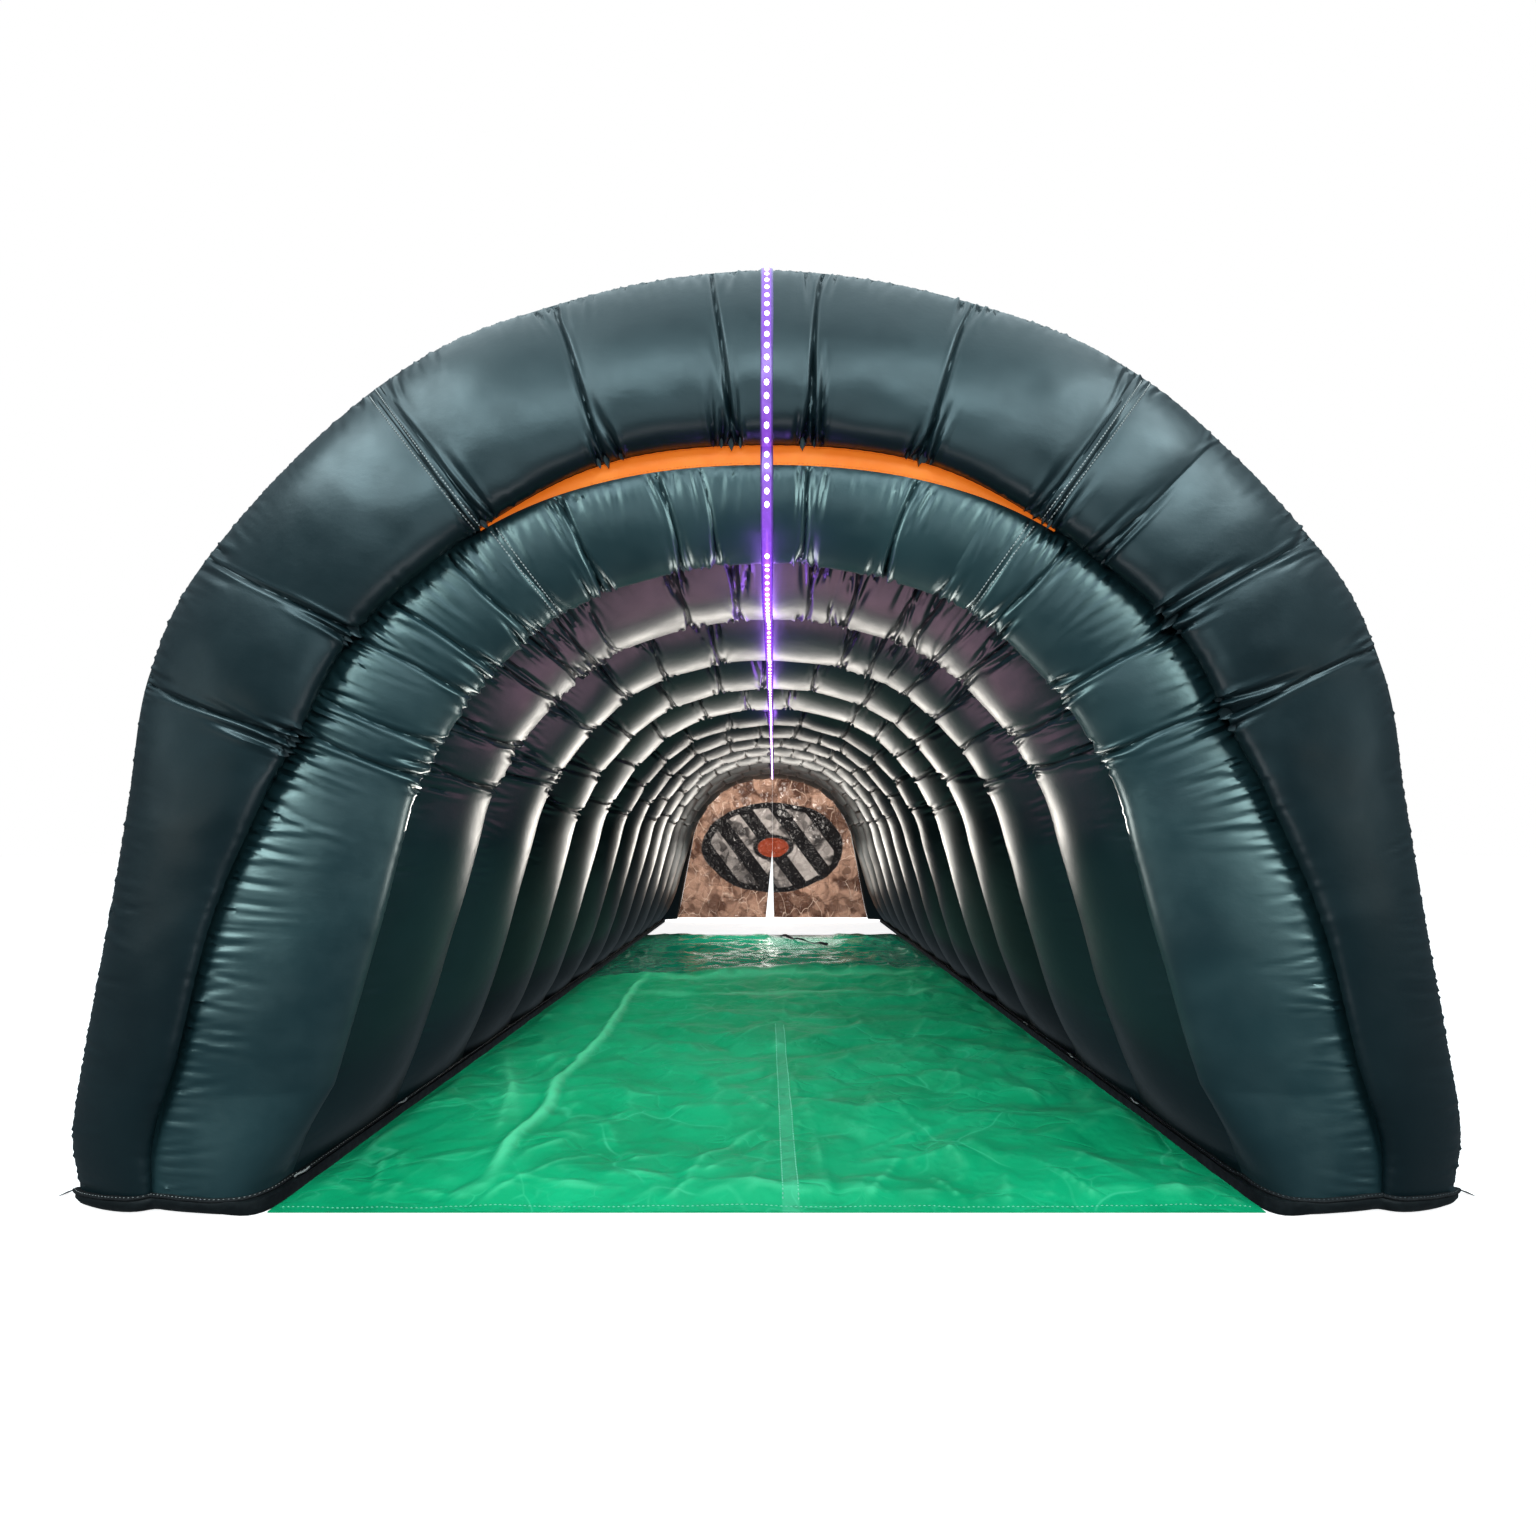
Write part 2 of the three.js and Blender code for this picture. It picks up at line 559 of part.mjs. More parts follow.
add("mouth_outer", mouthOuter(), looks.skin);
add("mouth_inner", mouthInner(), looks.skin);
for (let index = 0; index < CELLS; index++) {
  const creases = CELL_CREASES[index] ?? farCreases(index);
  add(`cell_${String(index + 1).padStart(2, "0")}`, airCell(index, creases), looks.skin);
}
add("end_ring", endRing(), looks.skin);
add("crescent", crescent(), looks.crescent);
add("light_strip", lightStrip(), looks.light);
add("groundsheet", groundsheet(), looks.sheet);
add("curtain_left", curtain(-1), looks.curtain);
add("curtain_right", curtain(1), looks.curtain);
add("strap", strap(), looks.webbing);

const binding = tape(footLine(BINDING.out), BINDING.width, FOOT_Z, FOOT_Z + BINDING.thickness);
for (const [name, geometry, material] of [
  ["sole", sole(), looks.sole],
  ["binding", binding, looks.webbing],
  ["corner_tab", cornerTab(), looks.webbing],
]) {
  add(`${name}_right`, geometry, material);
  add(`${name}_left`, mirrored(geometry), material);
}
const SEAM_TIES = [[-1, 0], [-1, 1], [1, 1], [1, 2], [1, 3]];
SEAM_TIES.forEach(([side, seam], i) => add(`seam_tie_${i + 1}`, seamTie(side, seam), looks.cord));

// The origin is the middle of the footprint, on the ground
const bounds = new THREE.Box3().setFromObject(tunnel);
tunnel.position.y = -(bounds.min.y + bounds.max.y) / 2;

export default tunnel;
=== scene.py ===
"""The looks of an inflatable walk-through tunnel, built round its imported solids.

Metres, +Z up, +Y into the tunnel. In the mouth's own frame, y is 0 at the mouth's inner seam.
"""
import math

import bmesh
import bpy
import numpy as np
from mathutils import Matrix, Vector


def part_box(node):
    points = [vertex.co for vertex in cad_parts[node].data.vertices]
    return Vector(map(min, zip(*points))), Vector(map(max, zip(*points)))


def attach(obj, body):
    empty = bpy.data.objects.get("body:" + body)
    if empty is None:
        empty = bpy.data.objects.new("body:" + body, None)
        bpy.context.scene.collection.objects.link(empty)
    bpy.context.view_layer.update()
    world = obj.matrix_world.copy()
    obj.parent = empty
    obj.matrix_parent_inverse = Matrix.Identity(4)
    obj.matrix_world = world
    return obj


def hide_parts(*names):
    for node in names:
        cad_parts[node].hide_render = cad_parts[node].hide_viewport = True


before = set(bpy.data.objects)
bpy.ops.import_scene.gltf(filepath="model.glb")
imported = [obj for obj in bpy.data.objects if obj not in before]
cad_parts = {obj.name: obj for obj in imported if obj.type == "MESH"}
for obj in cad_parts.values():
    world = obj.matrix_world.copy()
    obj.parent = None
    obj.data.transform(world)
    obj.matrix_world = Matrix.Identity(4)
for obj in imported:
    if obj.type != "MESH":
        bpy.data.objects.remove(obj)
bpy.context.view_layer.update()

# Driving sizes, as in the part's source
PITCH = 0.76
CELLS = 12
GAP = 0.0003
FOOT_Z = 0.0463
TUNNEL_END = CELLS * PITCH
MIDDLE_Y = -0.19
OUTER_Y = -0.12
END_CREST = 0.15
END_DEPTH = 0.33
END_OUTER = 0.17
END_DRAW_CROWN = 0.02
END_DRAW_FOOT = 0.235
SHEET_FRONT, SHEET_BACK, SHEET_HALF = -0.200, 7.534, 1.700
SEAM_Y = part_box("cell_01")[0].y - GAP / 2  # where the mouth's inner seam stands
# Crown to right foot: inner x, inner z, outer x, outer z, middle seam's share, gusset half, bulge
ARCH = np.array([
    (0, 2.310, 0, 3.268, 0.287, 0.034, 0.075),
    (0.420, 2.258, 0.747, 3.146, 0.308, 0.031, 0.080),
    (0.785, 2.114, 1.356, 2.866, 0.303, 0.005, 0.095),
    (1.100, 1.830, 1.936, 2.294, 0.353, 0.005, 0.115),
    (1.302, 1.510, 2.165, 1.856, 0.358, 0.005, 0.130),
    (1.390, 1.240, 2.240, 1.400, 0.45, 0.005, 0.130),
    (1.475, 0.950, 2.305, 1.000, 0.524, 0.005, 0.130),
    (1.590, 0.540, 2.385, 0.560, 0.534, 0.005, 0.125),
    (1.672, 0.250, 2.432, 0.250, 0.55, 0.005, 0.090),
    (1.742, FOOT_Z, 2.408, FOOT_Z, 0.534, 0.005, 0.020),
])
FOOT = len(ARCH) - 1
MIRROR = np.array([-1, 1, -1, 1, 1, 1, 1])
TABLE = np.vstack([ARCH[:0:-1] * MIRROR, ARCH])

# The camera, found from the photograph's seams
EYE = (0.025, SEAM_Y - 3.667 * PITCH, 1.263)
LENS = 17.81
SHIFT = (-0.0039, 0.0482)

ALL = (0, 1)
# Directions of the creases, seen from the vanishing point: a direction, or (direction, weight, extent).
# Extent is the part across that a crease covers, front first.
MOUTH_ANGLES = [166.7, 153.4, (132.4, 0.3, ALL), (131.3, 0.5, ALL), 113, 96, 85.4, 69.5, (51.7, 0.5, ALL),
                (50.6, 0.3, ALL), (42, 0.4, (0, 0.6)), 29.5, 17]
LIP_ANGLES = [168, 163, 154, 148, 139, (132.4, 0.4, ALL), 123, 107.7, (101, 0.5, ALL), 84.4, 68.2,
              (56.7, 0.6, (0, 0.5)), (50.6, 0.4, ALL), 45.1, 27.6, 16]
CELL_ANGLES = [
    [168, 159.7, 147, 139.6, 134.5, (129, 0.5, ALL), 111, 98.7, 81.6, (76.3, 0.6, (0.3, 1)), 71.8, 60.2, 55.3,
     (48.6, 0.5, ALL), 40.9, 23.7, 16.3],
    [165, 161, 148, 135, 122.5, 106.6, 69.1, 60.9, (55, 0.6, (0, 0.5)), 48.6, 38, 26.9, 16.7],
    [170, 158, 143, 126, 109, 94, 76, 57.4, (45, 0.6, (0, 0.6)), 35.6, 20.2],
    [166, 151, 136, 118, 101, 84, 57.7, 46.5, 34.9, 24.4, 12.5],
    [168, 156, 142, 128, 110, 92, 77, 57.4, 41, 27, 14.2],
    [162, 147, 131, 114, 97, 79, 66, 53.9, 38.4, 22],
]
DOUBLE_SEAMS = (132.4, 50.6)
# Three cells at a time, near to far: row step, columns inside and outside, gathers' spacing and half widths
CELL_DETAIL = [
    (0.0115, 52, 15, 0.036, (0.006, 0.012)),
    (0.016, 38, 12, 0.05, (0.010, 0.017)),
    (0.024, 26, 10, 0.075, (0.016, 0.026)),
]


# Lines and grids of points
def run_of(line):
    """Distances along a line of points."""
    return np.concatenate([[0], np.cumsum(np.linalg.norm(np.diff(line, axis=0), axis=1))])


def read(values, far, at):
    """Columns of values, given at the distances far, read off at other distances."""
    return np.array([np.interp(at, far, column) for column in values.T]).T


def resample(line, count):
    far = run_of(line)
    return read(line, far, np.linspace(0, far[-1], count))


def unit(v):
    return v / np.maximum(np.linalg.norm(v, axis=-1, keepdims=True), 1e-12)


def course(line):
    """The directions of an open line on a plane, and those to its left."""
    ahead = unit(np.gradient(line, axis=0))
    return ahead, np.stack([-ahead[:, 1], ahead[:, 0]], axis=1)


def beside(line, distance):
    """An open line on a plane, moved to the left of its run."""
    return line + course(line)[1] * distance


def blend(at, i, j, a, b):
    """The value between four neighbours in a grid, a and b past the point i, j."""
    low = at(i, j) * (1 - a) + at(i + 1, j) * a
    high = at(i, j + 1) * (1 - a) + at(i + 1, j + 1) * a
    return low * (1 - b) + high * b


def smooth_noise(x, y, cell, seed):
    """Soft noise from -1 to 1 over a plane, with lumps about cell wide."""
    lattice = np.random.default_rng(seed).uniform(-1, 1, (96, 96))
    u, v = np.asarray(x) / cell + 7.3, np.asarray(y) / cell + 3.1
    i, j = np.floor(u).astype(int), np.floor(v).astype(int)
    a, b = u - i, v - j
    a, b = a * a * (3 - 2 * a), b * b * (3 - 2 * b)
    return blend(lambda m, n: lattice[m % 96, n % 96], i, j, a, b)


def hump(distance, half):
    return np.where(np.abs(distance) < half, np.cos(np.clip(distance / half, -1, 1) * math.pi / 2) ** 2, 0)


def step_up(value, low, high):
    u = np.clip((value - low) / (high - low), 0, 1)
    return u * u * (3 - 2 * u)


def between(value, low, high, soft):
    return step_up(value, low, low + soft) * (1 - step_up(value, high - soft, high))


def fold(x, y, z, at, turn, long, half, height):
    """Adds one straight fold to heights z."""
    c, s = math.cos(turn), math.sin(turn)
    dx, dy = x - at[0], y - at[1]
    along = (dx * c + dy * s) / long
    off = np.abs(dy * c - dx * s)
    near = (np.abs(along) < 1) & (off < 6 * half)
    z[near] += height * (1 - along[near] ** 2) ** 1.5 * np.exp(-off[near] / half)


def normals_of(p, towards):
    """Unit normals of a grid of points, on the side of the directions towards."""
    n = unit(np.cross(np.gradient(p, axis=0), np.gradient(p, axis=1)))
    flip = np.sign((n * towards).sum(2, keepdims=True))
    return n * np.where(flip == 0, 1, flip)


# The arch
def arch(rows):
    """The arch's table at these rows, as smooth curves: negative rows are on the left."""
    u = np.clip(np.asarray(rows, float) + FOOT, 0, 2 * FOOT - 1e-9)
    i = u.astype(int)
    t = (u - i)[:, None]
    v = np.vstack([2 * TABLE[0] - TABLE[1], TABLE, 2 * TABLE[-1] - TABLE[-2]])
    a, b, c, d = v[i], v[i + 1], v[i + 2], v[i + 3]
    return 0.5 * (2 * b + (c - a) * t + (2 * a - 5 * b + 4 * c - d) * t**2 + (3 * b - a - 3 * c + d) * t**3)


def part_way(rows, share):
    """A curve part-way from the inner skin to the outer one, as (x, z)."""
    t = arch(rows)
    return t[:, :2] * (1 - share) + t[:, 2:4] * share


class Stations:
    """Places along the arch: where the inner seam is, the way out to the outer skin, and the sizes there."""

    def __init__(self, rows):
        self.rows = np.asarray(rows, float)
        t = arch(self.rows)
        self.inner = t[:, :2]
        across = t[:, 2:4] - t[:, :2]
        self.thick = np.linalg.norm(across, axis=1)
        self.out = across / self.thick[:, None]
        self.bulge = t[:, 6]
        self.gusset_in = t[:, 4] * self.thick - t[:, 5]
        self.gusset_out = t[:, 4] * self.thick + t[:, 5]

    def points(self, along, y):
        """Points at along (rows by columns) out of the inner seam, and at y in the mouth's own frame."""
        p = np.zeros(np.broadcast(along, y).shape + (3,))
        p[..., 0] = self.inner[:, None, 0] + self.out[:, None, 0] * along
        p[..., 2] = self.inner[:, None, 1] + self.out[:, None, 1] * along
        p[..., 1] = y + SEAM_Y
        return p

    def outwards(self):
        """The way out to the outer skin, for the rows of a panel."""
        return np.insert(self.out, 1, 0, axis=1)[:, None]


def even_rows(step, share, creases=(), fine=None, near=0.034):
    """Rows that stand step apart on a curve part-way between the skins, or fine apart near creases.

    Gives the rows and their distances from the left foot.
    """
    dense = np.linspace(-FOOT, FOOT, 8001)
    run = run_of(part_way(dense, share))
    steps = np.full(len(dense), step)
    for row, *_ in creases:
        steps[np.abs(run - np.interp(row, dense, run)) < near] = fine
    counted = np.concatenate([[0], np.cumsum(np.diff(run) / ((steps[1:] + steps[:-1]) / 2))])
    s = np.interp(np.linspace(0, counted[-1], int(counted[-1]) + 1), counted, run)
    return np.interp(s, run, dense), s


def row_at(degrees, share):
    """The row seen in this direction from the far end's vanishing point: 90 is the crown, 180 the left."""
    dense = np.linspace(-FOOT, FOOT, 4001)
    line = part_way(dense, share)
    seen = np.degrees(np.arctan2(line[:, 1] - EYE[2], line[:, 0] - EYE[0]))
    seen = np.where(seen < -90, seen + 360, seen)
    return float(np.interp(-degrees, -seen, dense))


def crease_rows(angles, share=0.0):
    """Crease rows from the directions in which they are seen, each as (row, weight, extent)."""
    full = [a if isinstance(a, tuple) else (a, 1.0, ALL) for a in angles]
    return [(row_at(angle, share), weight, extent) for angle, weight, extent in full]


def far_angles(cell):
    """Further in, the creases stand like the joints of bricks."""
    shift = 7.0 if cell % 2 else 0.0
    return [168 - shift * 0.4, *np.arange(158 - shift, 20, -14.5).tolist(), 13]


class Relief:
    """How far a blown-up panel stands in or out of its smooth form.

    s runs along its seams. t is the share across, from its low seam (0) to its high one (1).
    """

    def __init__(self, s, shares, width, seed):
        self.s, self.t, self.width = s, shares[None, :], width[:, None]
        self.low = self.width * self.t
        self.high = self.width * (1 - self.t)
        self.d = np.zeros((len(s), len(shares)))
        self.rng = np.random.default_rng(seed)
        self.seed = seed

    def window(self, at, reach):
        return slice(*np.searchsorted(self.s, [at - reach, at + reach]))

    def unevenness(self, height, cell):
        fade = np.sin(math.pi * self.t) ** 0.7
        self.d += height * fade * smooth_noise(self.s[:, None], self.low, cell, self.seed + 90)

    def pillows(self, creases, rise, most):
        """Swells the cloth between creases, so that it meets at each of them in a fold."""
        ends = np.concatenate([[self.s[0] - 0.2], np.sort(creases), [self.s[-1] + 0.2]])
        i = np.clip(np.searchsorted(ends, self.s) - 1, 0, len(ends) - 2)
        span = ends[i + 1] - ends[i]
        u = 2 * (self.s - ends[i]) / span - 1
        rise = np.minimum(rise * span, most)
        self.d += (rise * (0.55 - np.abs(u) ** 2.6))[:, None] * np.sin(math.pi * self.t) ** 0.6

    def crease(self, at, depth, half, slant=0.0, middle=0.42, extent=ALL, deep=1):
        """A fold from one seam to the other, deeper and wider towards the seam that is called deep."""
        part = self.window(at, half * 7 + abs(slant) * 0.5 + 0.05)
        t = self.t
        u = t if deep else 1 - t
        wobble = 0.007 * np.sin(7 * t + 40 * at) + slant * (t - 0.5) * self.width[part]
        wide = half * (0.75 + 0.5 * u)
        off = np.abs(self.s[part, None] - at - wobble)
        ends = middle + (1 - middle) * np.maximum(u**1.6, 0.45 * (1 - u) ** 4)
        edge = np.clip(np.minimum(self.low[part], self.high[part]) / 0.012, 0, 1)
        if extent != ALL:
            edge = edge * np.clip((t - extent[0]) / 0.12, 0, 1) * np.clip((extent[1] - t) / 0.12, 0, 1)
        lip = 0.15 * np.exp(-(((off - 2.4 * wide) / (1.5 * wide)) ** 2))
        self.d[part] += ends * edge * depth * (lip - np.exp(-((off / wide) ** 1.25)))

    def pucker(self, seam, at, length, half, height, slant, hold=1.0):
        """A short ridge or groove that starts at a seam and fades across the panel, widening as it goes."""
        part = self.window(at, half * 6 + abs(slant) * length)
        q = (self.high if seam else self.low)[part]
        share = np.clip(q / length, 0, 1)
        wide = half * (0.55 + 0.9 * share)
        fade = (1 - share**hold) ** 1.3 * np.clip(q / 0.030, 0, 1) ** 1.5
        off = (self.s[part, None] - (at + slant * q)) / wide
        self.d[part] += height * fade * (np.exp(-(off**2)) - 0.45 * np.exp(-((np.abs(off) - 1.9) ** 2)))

    def fork(self, seam, at, depth, reach):
        """The bunch of short folds where a crease runs into a seam."""
        r = self.rng
        for k in range(r.integers(4, 7)):
            side = -1 if k % 2 else 1
            place = at + side * r.uniform(0.014, 0.075)
            self.pucker(seam, place, reach * r.uniform(0.45, 1.2), r.uniform(0.007, 0.013),
                        -depth * r.uniform(0.5, 1.1), -side * r.uniform(0.02, 0.16), 2.2)

    def gathers(self, seam, spacing, length, height, strength=None, half=(0.006, 0.012)):
        """Small gathers all along a seam. strength gives how strong they are at a place along it."""
        r = self.rng
        at = self.s[0]
        while at < self.s[-1]:
            at += spacing * r.uniform(0.35, 1.65)
            power = strength(at) if strength else 1.0
            long = length * r.uniform(0.4, 1.5) * (0.6 + 0.4 * power)
            wide = r.uniform(*half)
            high = height * power * r.choice([-1, 1], p=[0.6, 0.4]) * r.uniform(0.35, 1.1)
            self.pucker(seam, at, long, wide, high, r.uniform(-0.25, 0.25))

    def cut(self, rows, creases, reach, depth, deep=1):
        """Cuts the creases, with a bunch of small folds where each meets a seam, and gives their places."""
        places = []
        for row, weight, extent in creases:
            at = float(np.interp(row, rows, self.s))
            places.append(at)
            slant = self.rng.uniform(-0.03, 0.03)
            self.crease(at, depth * weight, 0.0048 + 0.0022 * weight, slant, extent=extent, deep=deep)
            for seam, reached in enumerate((extent[0] <= 0.05, extent[1] >= 0.95)):
                share, part = (0.75, 1.0) if seam == deep else (0.35, 0.6)
                if reached:
                    self.fork(seam, at, depth * share * weight, reach * part)
        return places


# Meshes
def make_mesh(name, points, faces, material, smooth=50.0):
    mesh = bpy.data.meshes.new(name)
    mesh.from_pydata(np.asarray(points, float).tolist(), [], faces)
    mesh.validate()
    mesh.update()
    mesh.shade_smooth()
    if smooth:
        mesh.set_sharp_from_angle(angle=math.radians(smooth))
    piece = bpy.data.objects.new(name, mesh)
    bpy.context.scene.collection.objects.link(piece)
    mesh.materials.append(material)
    return piece


def grid_faces(rows, columns, wrap=False):
    i, j = np.meshgrid(np.arange(rows - 1), np.arange(columns if wrap else columns - 1), indexing="ij")
    a = i * columns + j
    b = i * columns + (j + 1) % columns
    return np.stack([a, b, b + columns, a + columns], axis=-1).reshape(-1, 4).tolist()


def outward(piece):
    """Turns the faces of a closed mesh outwards."""
    b = bmesh.new()
    b.from_mesh(piece.data)
    bmesh.ops.recalc_face_normals(b, faces=b.faces)
    b.to_mesh(piece.data)
    b.free()
    return piece


def loft(name, rings, material, smooth=50.0):
    """Joins closed rings of points (an array: rings, points, 3) one after the other and closes the ends."""
    rings = np.asarray(rings)
    count, around = rings.shape[:2]
    faces = grid_faces(count, around, wrap=True)
    faces += [list(range(around)), list(range((count - 1) * around, count * around))]
    return outward(make_mesh(name, rings.reshape(-1, 3), faces, material, smooth))


def settle(piece, slot, *nodes):
    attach(piece, "root")
    if nodes:
        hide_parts(*nodes)
    return piece


def air_filled(name, strips, node):
    """A closed panel of black cloth, made of strips that follow each other round it."""
    piece = settle(loft(name, np.concatenate(strips, axis=1), SKIN), "skin", node)


def sided(stem, side):
    return stem + ("_right" if side > 0 else "_left")


# Materials
class Value:
    """A node's output, in a form that sums can be written with."""

    def __init__(self, nodes, socket):
        self.nodes = nodes
        self.socket = socket

    def __add__(self, other):
        return self.nodes.maths("ADD", self, other)

    def __sub__(self, other):
        return self.nodes.maths("SUBTRACT", self, other)

    def __mul__(self, other):
        return self.nodes.maths("MULTIPLY", self, other)

    def __truediv__(self, other):
        return self.nodes.maths("DIVIDE", self, other)


class Nodes:
    """Short calls for the nodes of one tree."""

    def __init__(self, tree):
        self.tree = tree

    def put(self, node, key, value):
        if isinstance(value, Value):
            self.tree.links.new(value.socket, node.inputs[key])
        else:
            node.inputs[key].default_value = value

    def node(self, kind, output=0, inputs=(), **settings):
        """An output of a new node, which has these settings and inputs."""
        made = self.tree.nodes.new("ShaderNode" + kind)
        for key, value in settings.items():
            setattr(made, key, value)
        for key, value in dict(inputs).items():
            self.put(made, key, value)
        return Value(self, made.outputs[output])

    def maths(self, operation, a, b=0.0):
        return self.node("Math", 0, {0: a, 1: b}, operation=operation)

    def axes(self, place):
        split = self.node("SeparateXYZ", 0, {"Vector": place}).socket.node
        return [Value(self, output) for output in split.outputs]


class Shader(Nodes):
    """Short calls for the nodes of one material."""

    def __init__(self, name):
        self.material = bpy.data.materials.new(name)
        self.material.use_nodes = True
        super().__init__(self.material.node_tree)
        self.surface = self.tree.nodes["Principled BSDF"]
        self.place = self.node("TexCoord", "Object")

    def set(self, **values):
        for key, value in values.items():
            self.put(self.surface, key.replace("_", " "), value)

    def mapped(self, scale, turn=(0, 0, 0), move=(0, 0, 0)):
        inputs = {"Vector": self.place, "Scale": scale, "Rotation": turn, "Location": move}
        return self.node("Mapping", "Vector", inputs)

    def noise(self, scale, detail=2.0, roughness=0.5, place=None, distortion=0.0):
        inputs = {"Vector": place or self.place, "Scale": scale, "Detail": detail, "Roughness": roughness}
        return self.node("TexNoise", "Fac", {**inputs, "Distortion": distortion})

    def spread(self, value, low, high, to_low=0.0, to_high=1.0):
        inputs = {"Value": value, "From Min": low, "From Max": high, "To Min": to_low, "To Max": to_high}
        return self.node("MapRange", "Result", inputs, interpolation_type="SMOOTHSTEP")

    def mottle(self, low, high, *noise):
        """A value that varies between low and high in soft patches."""
        return self.spread(self.noise(*noise), 0.3, 0.7, low, high)

    def mix(self, share, a, b):
        a, b = [x if isinstance(x, Value) else (*x, 1.0) for x in (a, b)]
        return self.node("Mix", 2, {0: share, 6: a, 7: b}, data_type="RGBA")

    def bent(self, scale, warp, place, lumps):
        """Coordinates for a pattern of this scale, pushed about by noise."""
        push = self.node("TexNoise", "Color", {"Vector": place, "Scale": scale * lumps})
        inputs = {0: push, 1: (warp / scale,) * 3, 2: place}
        return self.node("VectorMath", 0, inputs, operation="MULTIPLY_ADD")

    def crumple(self, scale, warp, place=None):
        """Facets with sharp straight edges, as in folded plastic sheet. Low along the edges."""
        inputs = {"Scale": scale, "Vector": self.bent(scale, warp, place or self.place, 0.8)}
        return self.node("TexVoronoi", "Distance", inputs, feature="DISTANCE_TO_EDGE")

    def facets(self, scale, warp):
        """A tone from 0 to 1 for each facet of crumpled film, used as painted light and shade on the facets.
        """
        inputs = {"Scale": scale, "Smoothness": 0.35, "Vector": self.bent(scale, warp, self.place, 0.7)}
        colour = self.node("TexVoronoi", "Color", inputs, feature="SMOOTH_F1")
        return self.node("SeparateColor", 0, {0: colour})

    def bump(self, height, strength, distance):
        """Adds a bump to those that the surface has."""
        inputs = {"Height": height, "Strength": strength, "Distance": distance}
        normal = self.surface.inputs["Normal"]
        if normal.is_linked:
            inputs["Normal"] = Value(self, normal.links[0].from_socket)
        self.set(Normal=self.node("Bump", "Normal", inputs))

    def weave(self, scale, strength, distance, direction="X", distortion=0.0):
        inputs = {"Scale": scale, "Distortion": distortion, "Vector": self.place}
        self.bump(self.node("TexWave", "Fac", inputs, bands_direction=direction), strength, distance)


def skin_look():
    """Near-black coated cloth with a blue-green tint: satin gloss, faint dust, small pale scuffs."""
    m = Shader("coated_cloth_black")
    patches = m.spread(m.noise(1.6, 3, 0.6), 0.35, 0.7)
    tint = m.mix(patches, (0.0040, 0.0125, 0.0160), (0.0065, 0.0185, 0.0225))
    scuff = m.spread(m.noise(26, 5, 0.75, m.mapped((3.2, 1, 0.5), (0.5, 0.3, 0.9))), 0.735, 0.80)
    m.set(Base_Color=m.mix(scuff * 0.35, tint, (0.16, 0.17, 0.17)))
    m.set(Roughness=m.spread(m.noise(5.5, 5, 0.62), 0.3, 0.72, 0.31, 0.44))
    m.set(Specular_IOR_Level=0.60, Specular_Tint=(0.72, 0.95, 1.0, 1), Coat_Weight=0.12, Coat_Roughness=0.22)
    m.bump(m.noise(420, 2, 0.5), 0.10, 0.0006)
    m.bump(m.noise(24, 4, 0.6, m.mapped((1, 1, 1.4))), 0.16, 0.004)
    return m.material


def crescent_look():
    """Bright orange coated cloth with a fine plain weave, and a painted orange glow that brightens it though
    it is no lamp.
    """
    m = Shader("coated_cloth_orange")
    m.set(Base_Color=m.mix(m.mottle(0, 1, 9, 4), (0.92, 0.22, 0.016), (1.0, 0.30, 0.035)))
    m.set(Roughness=m.mottle(0.50, 0.62, 30, 3))
    # Painted glow: emission that makes the orange brighter than the light on it
    m.set(Emission_Color=(1.0, 0.20, 0.016, 1), Emission_Strength=0.55)
    m.weave(190, 0.10, 0.0008)
    return m.material


def sole_look():
    """Black base cloth, matt, with worn patches."""
    m = Shader("base_cloth")
    worn = m.spread(m.noise(14, 5, 0.7), 0.4, 0.75)
    m.set(Base_Color=m.mix(worn, (0.0045, 0.0075, 0.0090), (0.018, 0.024, 0.026)))
    m.set(Roughness=m.mottle(0.42, 0.60, 40, 3))
    m.bump(m.noise(300, 3), 0.25, 0.001)
    return m.material


def webbing_look():
    """Black woven webbing."""
    m = Shader("webbing_black")
    m.set(Base_Color=m.mix(m.noise(60, 3), (0.004, 0.004, 0.005), (0.016, 0.016, 0.018)))
    m.set(Roughness=m.mottle(0.55, 0.80, 90, 2))
    m.weave(160, 0.5, 0.001, "DIAGONAL", 1.0)
    return m.material


def thread_look(name, colour, painted_glow=0.0):
    m = Shader(name)
    pale = tuple(min(1.0, c * 1.25) for c in colour)
    m.set(Base_Color=m.mix(m.noise(200, 2), colour, pale))
    m.set(Roughness=m.mottle(0.45, 0.7, 120, 2))
    # Painted glow: emission that makes a thread brighter than the light on it
    if painted_glow:
        m.set(Emission_Color=(*colour, 1), Emission_Strength=painted_glow)
    return m.material


